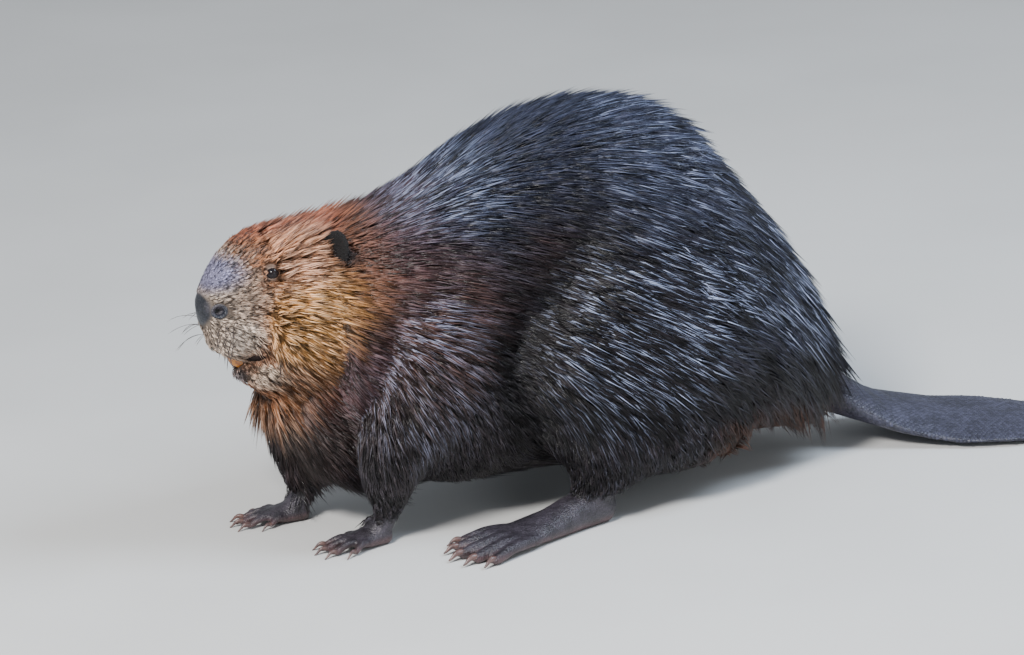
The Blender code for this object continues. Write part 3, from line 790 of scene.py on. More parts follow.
FACE_PATCHES = (
    Patch(Tint.GOLD, (0.056, 0.098, -0.020), (0.060, 0.064, 0.066)),
    Patch(Tint.RUST, (0.030, 0.080, -0.076), (0.050, 0.055, 0.046)),
    Patch(Tint.CROWN, (0.016, 0.100, 0.066), (0.045, 0.050, 0.034)),
    Patch(Tint.SAND, (0.038, 0.086, 0.040), (0.038, 0.040, 0.034)),
    Patch(Tint.CROWN, (0.000, 0.052, 0.070), (0.034, 0.036, 0.022), inner=0.3),
    Patch(Tint.MOTTLE, (0.022, 0.046, 0.026), (0.020, 0.024, 0.016), share=0.7, inner=0.3),
    Patch(Tint.BLUE_GREY, (0.006, 0.026, 0.031), (0.034, 0.036, 0.024), inner=0.45),
    Patch(Tint.MOTTLE, (0.034, 0.036, 0.006), (0.022, 0.034, 0.022), share=0.85, inner=0.3),
    Patch(Tint.PALE, (0.028, 0.034, -0.028), (0.026, 0.024, 0.022), share=0.85, inner=0.3),
    Patch(Tint.MOTTLE, (0.014, 0.020, -0.050), (0.026, 0.024, 0.012), share=0.8, inner=0.3),
    Patch(Tint.CREAM, (0.028, 0.056, -0.059), (0.020, 0.015, 0.012), share=0.9, inner=0.3),
    Patch(Tint.CREAM, (0.030, 0.046, -0.070), (0.030, 0.022, 0.016), share=0.8, inner=0.3),
    Patch(Tint.CHIN, (0.008, 0.030, -0.066), (0.020, 0.014, 0.012), share=0.85),
    Patch(Tint.MOTTLE, (0.000, 0.006, -0.026), (0.015, 0.018, 0.024), share=0.8, inner=0.3),
)


def painted(base: Tint, layers: list[tuple[np.ndarray, Tint]]) -> np.ndarray:
    """A base colour with each layer laid over it where its mask is, one after another.

    Args:
        base: the colour under all layers.
        layers: each layer's mask and colour.

    Returns:
        A colour for each point.
    """
    tint = np.zeros((len(layers[0][0]), 3)) + np.array(base.value)
    for mask, colour in layers:
        tint = tint + mask[:, None] * (np.array(colour.value) - tint)
    return tint


class Coat:
    """Length, lie and colour of the coat at any place."""

    face_by_back = ((0.0, 0.02, 0.04, 0.07, 0.10, 0.14), (0.0050, 0.0100, 0.0140, 0.022, 0.030, 0.036))
    leg_by_height = ((0.025, 0.045, 0.08, 0.15), (0.007, 0.013, 0.022, 0.031))
    shortest_face = 0.003
    neck_length = 0.034
    ear_length = 0.0016
    bare_length = 0.006
    muzzle_noise = 0.0055

    @classmethod
    def length_at(cls, places: np.ndarray, zone: dict[str, np.ndarray]) -> np.ndarray:
        """The length of the guard hairs, in metres.

        Args:
            places: the skin's points.
            zone: the share of each node at each point.

        Returns:
            A length for each point.
        """
        _, back, rise = HEAD.measure(places).T
        _, y, z = places.T
        face = np.interp(back, *cls.face_by_back)
        low = step(-rise, 0.030, 0.075)
        face = face * (1 - 0.40 * step(-rise, 0.046, 0.054) * (1 - step(back, 0.048, 0.064)))
        face = face * (1 + 0.9 * step(-rise, 0.070, 0.085) * step(back, 0.030, 0.050))
        brow = step(rise, 0.006, 0.030) * step(0.075 - back, 0.0, 0.04)
        face = face + 0.008 * low * step(back, 0.065, 0.095) - 0.0060 * brow
        body = 0.040 + 0.010 * step(y, -0.22, -0.05) + 0.016 * step(y, 0.02, 0.14)
        leg = np.interp(z, *cls.leg_by_height)
        haunch = np.maximum(leg, 0.95 * body * step(z, 0.04, 0.12))
        length = zone["head"] * np.maximum(face, cls.shortest_face) + zone["neck"] * cls.neck_length
        length = length + zone["trunk"] * body
        length = length + share_of(zone, "foreleg") * leg + share_of(zone, "hindleg") * haunch
        for side in SIDES:
            apart = distance_to(places, middle_of("ear_" + side))
            length = length * (1 - 0.68 * np.exp(-((apart / 0.026) ** 2)))
        length = length + share_of(zone, "ear") * cls.ear_length
        return length + share_of(zone, "foot", "tail") * cls.bare_length

    @staticmethod
    def lie_at(places: np.ndarray, zone: dict[str, np.ndarray], out: np.ndarray) -> np.ndarray:
        """The way the hairs point, along the skin.

        Args:
            places: the skin's points.
            zone: the share of each node at each point.
            out: the outward direction at each point.

        Returns:
            A direction for each point.
        """
        _, back, rise = HEAD.measure(places).T
        x, y, z = places.T
        facing_up = out[:, 2]
        drop = 0.12 + 0.30 * step(np.abs(out[:, 0]), 0.2, 0.9) * (1 + step(y, -0.16, -0.02))
        drop = drop * (1 - step(-facing_up, 0.5, 0.9))
        drop = drop + (0.45 * step(y, -0.02, 0.08) + 0.9 * step(y, 0.06, 0.18)) * (facing_up > -0.6)
        drop = drop + 1.2 * step(y, 0.03, 0.10) * (1 - step(z, 0.075, 0.120))
        over_lip = step(-rise, 0.022, 0.042) * (1 - step(-rise, 0.050, 0.056))
        over_lip = over_lip * step(back, 0.034, 0.044) * (1 - step(back, 0.070, 0.085))
        head = unit(places - np.array(HEAD.place(0.0, -0.020, 0.004)))
        head = head + np.array((0, 0.0, -0.45)) * step(back, 0.05, 0.12)[:, None]
        head = head + np.array((0, 0.0, -1.5)) * over_lip[:, None]
        neck = unit(columns(0.12 * np.sign(x), 0.95, -0.24 - 0.90 * step(-facing_up, -0.1, 0.6)))
        trunk = unit(columns(0.0, 1.0, -drop))
        fore = unit(columns(0.0, 0.22 + 1.2 * step(z, 0.10, 0.22), -1.0))
        hind = unit(columns(0.0, 0.15 + 1.55 * step(z, 0.06, 0.19), -1.0))
        tail = unit(np.array([(0.25, 1.0, -0.2)]))
        ears = unit(np.array([HEAD.up + HEAD.back * 0.4]))
        feet = np.array([(0.0, -1.0, -0.2)])
        ways = ((zone["head"], head), (zone["neck"], neck), (zone["trunk"], trunk),
                (share_of(zone, "foreleg"), fore), (share_of(zone, "hindleg"), hind),
                (zone["tail"], tail), (share_of(zone, "ear"), ears), (share_of(zone, "foot"), feet))
        lie = sum(share[:, None] * way for share, way in ways)
        return unit(lie - out * np.sum(lie * out, axis=1, keepdims=True))

    @classmethod
    def tint_at(cls, places: np.ndarray, zone: dict[str, np.ndarray], out: np.ndarray) -> np.ndarray:
        """The colour of the coat, from soft patches laid one over another, with painted bluish sky sheen on
        back, haunch and crest, and painted shade low on the rump and in the fold before the haunch.

        Args:
            places: the skin's points.
            zone: the share of each node at each point.
            out: the outward direction at each point.

        Returns:
            A colour for each point.
        """
        head, body = mirrored(HEAD.measure(places)), mirrored(places)
        _, back, rise = head.T
        _, y, z = places.T
        facing_up = out[:, 2]
        is_head, is_neck = zone["head"], zone["neck"]
        front = back + 0.55 * np.maximum(rise - 0.030, 0) + 0.35 * np.maximum(-rise - 0.02, 0)
        front = front + np.random.default_rng(5).normal(0.0, cls.muzzle_noise, len(places))
        layers = [
            # Painted bluish sky sheen on fur that faces up, on the haunch and on the crest.
            (0.8 * step(facing_up, 0.1, 0.9) * step(z, 0.15, 0.30), Tint.FROST),
            (0.8 * step(y, -0.08, 0.10) * step(z, 0.12, 0.2), Tint.FROST),
            (0.8 * step(z, 0.27, 0.34) * step(y, -0.125, -0.065), Tint.CREST),
            (0.85 * (1 - step(z, 0.125, 0.175)) * step(y, -0.05, 0.02), Tint.SHADE),
            (0.85 * blob(body, (0.125, -0.285, 0.17), (0.09, 0.10, 0.16)), Tint.SHOULDER),
            (0.8 * step(-facing_up, 0.1, 0.8) * step(y, -0.05, 0.08), Tint.UNDER),
            (0.9 * (1 - step(z, 0.088, 0.110)) * step(y, -0.01, 0.03), Tint.UNDER),
            (0.36 * blob(body, (0.125, -0.172, 0.290), (0.05, 0.040, 0.065), 0.1), Tint.RUSSET),
            (is_neck * 0.8, Tint.NECK),
            (0.85 * blob(body, (0.11, -0.262, 0.235), (0.10, 0.090, 0.100), 0.2), Tint.BROWN),
            (is_neck * blob(head, (0.035, 0.145, 0.02), (0.06, 0.028, 0.05)) * 0.5, Tint.RUSSET),
            (is_neck * step(-z, -0.15, -0.10) * 0.9, Tint.THROAT),
            (share_of(zone, "foreleg") * (1 - step(z, 0.10, 0.18)) * 0.8, Tint.LEG),
            (is_head, Tint.RUSSET),
            (is_head * (1 - step(front, 0.030, 0.062)), Tint.MUZZLE),
            *((patch.mask(head, is_head), patch.tint) for patch in FACE_PATCHES),
            (0.85 * (1 - step(distance_to_line(head, MOUTH_LINE), 0.002, 0.006)) * is_head, Tint.LIP),
            *((np.clip(zone["ear_" + side] * 1.8, 0, 1), Tint.EAR) for side in SIDES),
            (0.9 * step(-rise, 0.088, 0.118) * (is_head + is_neck), Tint.THROAT),
        ]
        # Painted shade in the fold before the haunch.
        fold = distance_to_line(flattened(places) + (0, 0.016, 0), FOLD_LINE)
        fold_shade = np.exp(-((fold / 0.026) ** 2)) * step(np.abs(places[:, 0]), 0.085, 0.115) * (1 - is_head)
        return painted(Tint.DARK, layers) * (1 - 0.88 * fold_shade)[:, None]

    @staticmethod
    def silver_sheen_at(places: np.ndarray, zone: dict[str, np.ndarray]) -> np.ndarray:
        """How many hairs carry a painted silver highlight in place of sky sheen: most on haunch and rump, fewer
        ahead, none on the face.

        Args:
            places: the skin's points.
            zone: the share of each node at each point.

        Returns:
            A share for each point.
        """
        profile = flattened(places)
        _, y, z = places.T
        beside = np.abs(places[:, 0])
        hind = blob(profile, (0, -0.030, 0.175), (1, 0.165, 0.150), 0.5) * step(beside, 0.06, 0.11)
        shoulder = blob(profile, (0, -0.270, 0.165), (1, 0.080, 0.100), 0.4)
        nape = blob(profile, (0, -0.250, 0.330), (1, 0.080, 0.048), 0.4)
        crest = step(z, 0.27, 0.34) * step(y, -0.120, -0.055)
        raised = 0.090 * step(y, -0.06, 0.02) * (1 - 0.45 * step(y, 0.05, 0.10))
        rump = np.maximum(hind, step(y, 0.03, 0.10)) * step(z - raised, 0.085, 0.140)
        rump = rump * (1 - 0.45 * step(z, 0.27, 0.34))
        wet = 0.07 + 0.93 * rump + 0.62 * shoulder + 0.45 * crest
        fold = distance_to_line(profile + (0, 0.010, 0), FOLD_LINE)
        wet = wet * (1 - 0.95 * np.exp(-((fold / 0.034) ** 2)) * step(beside, 0.08, 0.11))
        wet = wet * (1 - 0.6 * share_of(zone, "foreleg")) * (1 - 0.75 * zone["neck"])
        face = zone["head"] * 1.5 + zone["ear_left"] + zone["ear_right"]
        under = (1 - step(z, 0.090, 0.112)) * step(y, -0.01, 0.03)
        return np.clip(wet + 0.55 * nape, 0, 1) * np.clip(1 - face, 0, 1) * (1 - under)

    @staticmethod
    def bare_tint_at(places: np.ndarray, zone: dict[str, np.ndarray]) -> np.ndarray:
        """The colour of bare skin: feet, tail, nose, lids and lips.

        Args:
            places: the skin's points.
            zone: the share of each node at each point.

        Returns:
            A colour for each point.
        """
        head = mirrored(HEAD.measure(places))
        _, y, z = places.T
        feet = share_of(zone, "foot")
        layers = [
            (feet, Tint.FOOT),
            (feet * step(-z, -0.012, -0.004) * 0.7, Tint.TOE),
            (zone["tail"], Tint.PADDLE),
            (zone["tail"] * (1 - step(y, 0.15, 0.22)), Tint.PADDLE_ROOT),
            (blob(head, (0.0, 0.016, 0.004), (0.030, 0.014, 0.012), 0.5), Tint.WING),
            (blob(head, (0.0, 0.002, 0.001), (0.017, 0.011, 0.015), 0.6), Tint.PAD),
            # Painted shade inside the nostril.
            (blob(head, NOSTRIL, (0.0085, 0.0042, 0.0038), 0.7), Tint.PIT),
            (1 - step(distance_to_line(head, MOUTH_LINE), 0.006, 0.010), Tint.LIP),
        ]
        for side in SIDES:
            away = places - np.array(middle_of("eye_" + side))
            near = 1 - step(np.linalg.norm(away, axis=1), 0.0112, 0.0130)
            corner = step(np.abs(away @ np.array(HEAD.back)), 0.0050, 0.0066)
            layers += [(near, Tint.LID), (near * corner, Tint.LID_CORNER)]
        return painted(Tint.PAD, layers)


@dataclass
class LieOfCoat:
    """Stores the coat's measures on the skin, for the coat and the skin's own finish to read."""

    skin: bpy.types.Object
    floor_room: float = 0.003
    full_width_from: float = 0.011
    eye_shift: float = 0.0020

    def store(self) -> dict[str, np.ndarray]:
        """Works the measures out and stores them.

        Returns:
            The softened zones.
        """
        mesh = self.skin.data
        places, edges = places_of(mesh), edges_of(mesh)
        zone = ZONES.soft(places, edges, 14)
        sharp = ZONES.soft(places, edges, 2)
        out = unit(relax(normals_of(mesh), edges, 10))
        lie = unit(relax(Coat.lie_at(places, zone, out), edges, 12))
        lie = unit(lie - out * np.sum(lie * out, axis=1, keepdims=True))
        lift = self._lift(places, zone, out)
        way = lie * np.cos(lift)[:, None] + out * np.sin(lift)[:, None]
        keep(mesh, "way", way)
        keep(mesh, "rise", out * np.cos(lift)[:, None] - lie * np.sin(lift)[:, None])
        span = Coat.length_at(places, zone)
        room = np.maximum(places[:, 2] - self.floor_room, 0.002) / np.maximum(-way[:, 2], 0.02)
        keep(mesh, "span", np.minimum(span, room))
        fine = 1 - 0.45 * np.clip(share_of(zone, "ear"), 0, 1)
        keep(mesh, "wide", np.clip(span / self.full_width_from, 0.45, 1.0) * fine)
        keep(mesh, "tint", Coat.tint_at(places, zone, out))
        keep(mesh, "bare_tint", Coat.bare_tint_at(places, sharp))
        # Share of hairs with a painted silver highlight, in place of sky sheen on wet fur.
        keep(mesh, "wet", Coat.silver_sheen_at(places, zone))
        _, back, rise = HEAD.measure(places).T
        bridge = step(rise, 0.008, 0.022) * (1 - step(back, 0.052, 0.068))
        # How far the coat's tint shows on the skin under it: partly underfur colour, partly painted shade
        # between the hairs.
        keep(mesh, "under", 0.25 + 0.50 * bridge * np.clip(zone["head"], 0, 1))
        # Share of face hairs with a painted gold highlight: fewer on the muzzle front, the bridge, the chin and
        # fur that faces up.
        front = 0.30 + 0.70 * step(back, 0.045, 0.070)
        fair = np.clip(zone["head"] * 1.5, 0.0, 1.0) * (1 - step(back, 0.100, 0.128)) * front
        fair = fair * (1 - 0.7 * bridge) * (1 - 0.45 * step(-rise, 0.045, 0.075))
        fair = fair * (1 - 0.7 * step(out[:, 2], 0.3, 0.8))
        keep(mesh, "fair", fair)
        bare = self._bare(places, sharp)
        keep(mesh, "bare", bare)
        keep(mesh, "cover", (1 - step(bare, 0.25, 0.75)))
        return zone

    def _lift(self, places: np.ndarray, zone: dict[str, np.ndarray], out: np.ndarray) -> np.ndarray:
        """How steeply the hairs leave the skin, in radians.

        Args:
            places: the skin's points.
            zone: the share of each node at each point.
            out: the outward direction at each point.

        Returns:
            An angle for each point.
        """
        _, back, rise = HEAD.measure(places).T
        _, y, z = places.T
        degrees = 7.5 + 3 * zone["neck"] + 6 * step(y, 0.08, 0.18)
        degrees = degrees + zone["head"] * (4 + 6 * step(-rise, 0.05, 0.09))
        degrees = degrees + zone["head"] * 20 * step(out[:, 2], 0.3, 0.9) * step(back, 0.045, 0.075)
        for side in SIDES:
            apart = distance_to(places, middle_of("eye_" + side))
            degrees = degrees + 9 * np.exp(-((apart / 0.014) ** 2))
        fringe = step(y, 0.03, 0.10) * (1 - step(z, 0.075, 0.120)) * zone["trunk"]
        degrees = degrees + 12 * fringe - 6 * zone["head"] * (1 - step(back, 0.030, 0.050))
        return np.radians(degrees)

    def _bare(self, places: np.ndarray, zone: dict[str, np.ndarray]) -> np.ndarray:
        """Where no hair grows: nose pad, lids, lips, feet and tail.

        Args:
            places: the skin's points.
            zone: the share of each node at each point.

        Returns:
            1 where it is bare, 0 where it is haired.
        """
        head = mirrored(HEAD.measure(places))
        bare = share_of(zone, "foot", "tail")
        pad = blob(head, (0.0, 0.007, 0.002), (0.023, 0.0185, 0.0180), 0.75)
        nostril = blob(head, NOSTRIL, (0.0120, 0.0092, 0.0085), 0.8)
        lips = 1 - step(distance_to_line(head, MOUTH_LINE[:2]), 0.0016, 0.0028)
        lids = np.zeros(len(places))
        for side in SIDES:
            away = distance_to(places, middle_of("eye_" + side) - HEAD.back * self.eye_shift)
            lids = np.maximum(lids, 1 - step(away, 0.0086, 0.0096))
        return np.clip(np.maximum.reduce([bare, pad, nostril, lids, lips]), 0, 1)


# ---------------------------------------------------------------- locks of hair
HAIR_SECTION = ((-0.5, 0.0), (0.5, 0.0), (0.0, 0.45))


@dataclass(frozen=True)
class LockShape:
    """A small bundle of hairs, of length one along Y, with sides in metres."""

    hairs: int
    spread: float
    gather: float
    thickness: float
    bow: float
    joints: int = 2
    unevenness: float = 0.25
    sunk: float = 0.0014

    def mesh(self, name: str, seed: int) -> bpy.types.Mesh:
        """Builds one bundle.

        Args:
            name: the mesh's name.
            seed: what its random draws start from.

        Returns:
            A closed mesh with its place along the hair, its shade and its patch of the bake map stored.
        """
        draw = np.random.default_rng(seed)
        mesh = bmesh.new()
        grow, shade, patch = [], [], []
        for number in range(self.hairs):
            start = Vector(draw.uniform(-1, 1, 2)).to_3d() * self.spread / 2
            begin = 0.0 if number == 0 else draw.uniform(0.0, 0.06)
            reach = 1.0 - (0.0 if number == 0 else draw.uniform(0.0, self.unevenness))
            tone = draw.uniform(0, 1)
            sway = draw.uniform(-1, 1) * self.spread * 0.25
            rings = []
            for k in range(self.joints + 1):
                t = k / self.joints
                along = begin + (reach - begin) * t
                side = start.x * (1 - self.gather * t) + sway * math.sin(math.pi * t)
                high = start.y * 0.12 * (1 - t) + self.bow * math.sin(math.pi * t * 0.85)
                high -= self.bow * 0.6 * t * t
                high -= self.sunk * (1 - t) ** 3
                girth = self.thickness * (1.15 - 0.20 * t) * (0.30 if k == 0 else 1.0)
                if k == self.joints:
                    rings.append([mesh.verts.new((side, along, high))])
                    grow.append(t)
                    shade.append(tone)
                    patch.append((number / self.hairs, t, 0.0))
                    continue
                ring = []
                for corner, (x, z) in enumerate(HAIR_SECTION):
                    ring.append(mesh.verts.new((side + x * girth, along, high + z * girth)))
                    grow.append(t)
                    shade.append(tone)
                    patch.append(((number + corner / 3) / self.hairs, t, 0.0))
                rings.append(ring)
            mesh.faces.new(rings[0][::-1]).smooth = False
            for one, two in zip(rings, rings[1:]):
                for k in range(3):
                    a, b = one[k], one[(k + 1) % 3]
                    ends = (two[0],) if len(two) == 1 else (two[(k + 1) % 3], two[k])
                    mesh.faces.new((a, b, *ends)).smooth = True
        bmesh.ops.recalc_face_normals(mesh, faces=mesh.faces)
        data = bpy.data.meshes.new(name)
        mesh.to_mesh(data)
        mesh.free()
        keep(data, "grow", np.array(grow))
        keep(data, "shade", np.array(shade))
        keep(data, "patch", np.array(patch))
        return data


class LockKind(Enum):
    """The bundles that the coat is made of."""

    FUZZ = LockShape(hairs=3, spread=0.0036, gather=0.7, thickness=0.00115, bow=0.0008,
                     unevenness=0.35, sunk=0.0006)
    FACE = LockShape(hairs=5, spread=0.0062, gather=0.72, thickness=0.00092, bow=0.0014,
                     unevenness=0.35, sunk=0.0010)
    GUARD = LockShape(hairs=5, spread=0.0070, gather=0.60, thickness=0.00090, bow=0.0012, unevenness=0.40)
    WET = LockShape(hairs=9, spread=0.0160, gather=0.94, thickness=0.00125, bow=0.0022,
                    unevenness=0.35, sunk=0.0018)
    WHISKER = LockShape(hairs=1, spread=0.0, gather=0.0, thickness=0.00075, bow=0.0060, joints=7, sunk=0.0005)


@dataclass(frozen=True)
class GrowTree:
    """The Geometry Nodes tree that sets shapes on a ground, scattered over it or one at each point."""

    name: str
    scattered: bool

    def tree(self) -> bpy.types.GeometryNodeTree:
        """Builds the tree.

        Returns:
            The tree.
        """
        made = bpy.data.node_groups.new(self.name, "GeometryNodeTree")
        face = made.interface
        face.new_socket("Ground", in_out="INPUT", socket_type="NodeSocketGeometry")
        for label, kind in (("Shapes", "Collection"), ("Density", "Float"), ("Part", "Float"),
                            ("Seed", "Int"), ("Sway", "Float"), ("Ruffle", "Float"),
                            ("Unevenness", "Float"), ("Finish", "Material")):
            face.new_socket(label, in_out="INPUT", socket_type="NodeSocket" + kind)
        face.new_socket("Grown", in_out="OUTPUT", socket_type="NodeSocketGeometry")
        bench = Bench(made)
        given = made.nodes.new("NodeGroupInput")
        want = {socket.name: Wire(bench, socket) for socket in given.outputs if socket.name}

        def read(name: str, kind: str = "FLOAT") -> Wire:
            """A stored measure."""
            return bench.node("GeometryNodeInputNamedAttribute", {"data_type": kind}, {"Name": name})

        def draw(low: float | Wire, high: float | Wire, shift: int) -> Wire:
            """A random number for each shape."""
            inputs = {2: low, 3: high, 8: want["Seed"] + float(shift)}
            return bench.node("FunctionNodeRandomValue", {"data_type": "FLOAT"}, inputs, out=1)

        if self.scattered:
            part = bench.node("ShaderNodeMath", {"operation": "COMPARE"},
                              {0: read("part"), 1: want["Part"], 2: 0.5})
            spots = bench.node("GeometryNodeDistributePointsOnFaces", {"distribute_method": "RANDOM"},
                               {"Mesh": want["Ground"], "Selection": part,
                                "Density": read("cover") * want["Density"], "Seed": want["Seed"]})
        else:
            spots = bench.node("GeometryNodeMeshToPoints", {}, {"Mesh": want["Ground"]})
        way, rise = read("way", "FLOAT_VECTOR"), read("rise", "FLOAT_VECTOR")
        beside = bench.node("ShaderNodeVectorMath", {"operation": "CROSS_PRODUCT"}, {0: way, 1: rise})
        sway, ruffle = want["Sway"], want["Ruffle"]
        aim = way + beside * draw(sway * -1.0, sway, 1) + rise * draw(ruffle * -0.25, ruffle, 2)
        turn = bench.node("FunctionNodeAxesToRotation", {"primary_axis": "Y", "secondary_axis": "Z"},
                          {"Primary Axis": aim, "Secondary Axis": rise})
        stretch = draw(1.0 - want["Unevenness"], 1.0 + want["Unevenness"], 3)
        length = read("span") * stretch
        girth = read("wide") * draw(0.8, 1.2, 4)
        scale = bench.node("ShaderNodeCombineXYZ", {}, {"X": girth, "Y": length, "Z": girth})
        shapes = bench.node("GeometryNodeCollectionInfo", {},
                            {"Collection": want["Shapes"], "Separate Children": True, "Reset Children": True})
        grown = bench.node("GeometryNodeInstanceOnPoints", {},
                           {"Points": spots, "Instance": shapes, "Pick Instance": True, "Rotation": turn,
                            "Scale": scale})
        toned = bench.node("GeometryNodeStoreNamedAttribute", {"data_type": "FLOAT", "domain": "INSTANCE"},
                           {"Geometry": grown, "Name": "tone", "Value": draw(0.0, 1.0, 5)})
        for name in ("way", "rise", "span", "wide", "cover", "bare", "bare_tint", "part"):
            toned = bench.node("GeometryNodeRemoveAttribute", {}, {"Geometry": toned, "Name": name})
        solid = bench.node("GeometryNodeRealizeInstances", {}, {"Geometry": toned})
        spot = read("unwrap", "FLOAT_VECTOR") + read("patch", "FLOAT_VECTOR") * BAKE_PATCH
        mapped = bench.node("GeometryNodeStoreNamedAttribute", {"data_type": "FLOAT2", "domain": "CORNER"},
                            {"Geometry": solid, "Name": BAKE_MAP, "Value": spot})
        for name in ("unwrap", "patch"):
            mapped = bench.node("GeometryNodeRemoveAttribute", {}, {"Geometry": mapped, "Name": name})
        dressed = bench.node("GeometryNodeSetMaterial", {}, {"Geometry": mapped, "Material": want["Finish"]})
        bench.node("NodeGroupOutput", {}, {0: dressed})
        return made


def shapes_of(name: str, meshes: list[bpy.types.Mesh]) -> bpy.types.Collection:
    """A collection of shapes, kept out of the scene.

    Args:
        name: whose shapes they are.
        meshes: the shapes.

    Returns:
        The collection.
    """
    made = bpy.data.collections.new("shapes_" + name)
    for k, mesh in enumerate(meshes):
        made.objects.link(bpy.data.objects.new(f"{name}_shape_{k}", mesh))
    return made


def grown_on(ground: bpy.types.Object, tree: bpy.types.GeometryNodeTree, values: dict) -> bpy.types.Object:
    """What a tree grows on a ground, as a plain mesh of the ground's name. The ground is removed.

    Args:
        ground: the object that is grown on.
        tree: the tree.
        values: the tree's inputs by name.

    Returns:
        The grown piece.
    """
    grow = ground.modifiers.new("grow", "NODES")
    grow.node_group = tree
    sockets = {item.name: item.identifier for item in tree.interface.items_tree if item.in_out == "INPUT"}
    for name, value in values.items():
        grow[sockets[name]] = value
    return settled(ground.name.removesuffix("_ground"), ground)


class Part(IntEnum):
    """The parts that the coat is made in."""

    FACE = 0
    CHEEKS = 1
    NECK = 2
    FORELEGS = 3
    FLANK_LEFT = 4
    FLANK_RIGHT = 5
    RUMP_LEFT = 6
    RUMP_RIGHT = 7
    SHOULDER_LEFT = 8
    SHOULDER_RIGHT = 9


@dataclass
class Growth:
    """One piece of the coat: where it grows, how many triangles it has and of what kind of bundle."""

    part: Part
    kind: LockKind
    triangles: int
    seed: int
    sway: float = 0.10
    ruffle: float = 0.10
    unevenness: float = 0.25
    bundle_shapes: int = 6
    least_area: float = 0.005

    @property
    def name(self) -> str:
        """The piece's name."""
        return "coat_" + self.part.name.lower()

    @property
    def slot(self) -> str:
        """The record's material slot for the piece."""
        return "gold_fur" if self.part in (Part.FACE, Part.CHEEKS) else "dark_fur"

    def grow(self, skin: bpy.types.Object, tree: bpy.types.GeometryNodeTree, material: bpy.types.Material,
             area: float) -> bpy.types.Object:
        """Grows the piece on a copy of the skin.

        Args:
            skin: the skin with the coat's measures.
            tree: the scattering tree.
            material: its finish.
            area: the haired area of its part, in square metres.

        Returns:
            The piece, as a plain mesh.
        """
        shape = self.kind.value
        each = shape.hairs * (6 * (shape.joints - 1) + 4)
        density = self.triangles / each / max(area, self.least_area)
        bundles = [shape.mesh(f"{self.name}_bundle_{k}", self.seed * 10 + k)
                   for k in range(self.bundle_shapes)]
        log.info("%s: %.4f m2, %.0f bundles", self.name, area, self.triangles / each)
        values = {"Shapes": shapes_of(self.name, bundles), "Density": density, "Part": float(self.part),
                  "Seed": self.seed, "Sway": self.sway, "Ruffle": self.ruffle, "Unevenness": self.unevenness,
                  "Finish": material}
        return grown_on(piece_from(self.name + "_ground", skin.data), tree, values)


# ---------------------------------------------------------------- finishes
@dataclass(frozen=True)
class CoatFinish(Finish):
    """Guard hairs: the coat's tint, darker at the root (partly the hair's own colour, partly painted shade deep
    in the coat), uneven from hair to hair, with painted silver and gold highlights on some.
    """

    # Painted highlights: silver on some body hairs, gold straw on some face hairs.
    silver_highlight: Colour = (0.540, 0.620, 0.880)
    straw_highlight: Colour = (1.000, 0.830, 0.660)

    def colour(self, bench: Bench) -> Wire:
        """Tint by root, tip and hair, with a painted gold highlight on some face hairs and a painted silver one
        on some body hairs.

        Args:
            bench: the bench of the material's tree.

        Returns:
            The colour.
        """
        tint = bench.mark("tint", "Color")
        grow = bench.mark("grow")
        tone = bench.mark("tone") * 0.72 + bench.mark("shade") * 0.28
        drift = bench.noise(bench.here(), 30.0, 3.0, 0.6)
        # Darker toward the root: partly the hair's own colour, partly painted shade deep in the coat.
        light = bench.step(tone, 0.12, 0.88, 0.22, 1.70) * bench.step(grow, 0.0, 0.8, 0.22, 1.12)
        light = light * bench.step(drift, 0.30, 0.70, 0.75, 1.25)
        strand = bench.mark("tone") * 0.35 + bench.mark("shade") * 0.65
        glint = bench.step(strand + drift * 0.30, 0.71, 0.96) * bench.step(grow, 0.08, 0.50)
        # Painted silver highlight on some body hairs.
        body = bench.mix(glint * 0.90 * bench.mark("wet"), tint * light, self.silver_highlight)
        # Painted gold highlight on some face hairs.
        gold_highlight = bench.mix(0.40, tint * 2.1, self.straw_highlight)
        return bench.mix(glint * 0.95 * bench.mark("fair"), body, gold_highlight)

    def rough(self, bench: Bench) -> Wire:
        """Wet glints on some hairs and not on others, and none on the roots."""
        wetter = bench.step(bench.mark("tone"), 0.0, 1.0, self.roughness - 0.03, self.roughness + 0.13)
        return wetter + bench.step(bench.mark("grow"), 0.0, 0.22, 0.50, 0.0)


@dataclass(frozen=True)
class SkinFinish(Finish):
    """Skin under the coat in the coat's own colours, darkened partly as underfur colour and partly as painted
    shade between the hairs; bare leathery feet, nose and lids, and the tail.
    """

    def colour(self, bench: Bench) -> Wire:
        """The coat's tint, darkened partly as underfur and partly as painted shade between the hairs, and the
        bare skin's own colours.

        Args:
            bench: the bench of the material's tree.

        Returns:
            The colour.
        """
        here = bench.here()
        fine = bench.noise(here, 420.0, 4.0, 0.6)
        broad = bench.noise(here, 70.0, 3.0, 0.5)
        bare = bench.mark("bare_tint", "Color") * bench.step(broad, 0.3, 0.7, 0.65, 1.35)
        bare = bare * bench.step(fine, 0.35, 0.68, 1.15, 0.60)
        return bench.mix(bench.mark("bare"), bench.mark("tint", "Color") * bench.mark("under"), bare)

    def rough(self, bench: Bench) -> Wire:
        """Wetter where it is bare."""
        return bench.step(bench.mark("bare"), 0.0, 1.0, 0.95, self.roughness)

    def relief(self, bench: Bench) -> tuple[Wire, float]:
        """Pebbled leather with fine creases.

        Args:
            bench: the bench of the material's tree.

        Returns:
            The height of the relief and its depth.
        """
        here = bench.here()
        pebbles = bench.cells(here, 620.0) * -0.5
        creases = bench.noise(here, 160.0, 4.0, 0.65)
        return pebbles + creases, 0.0012


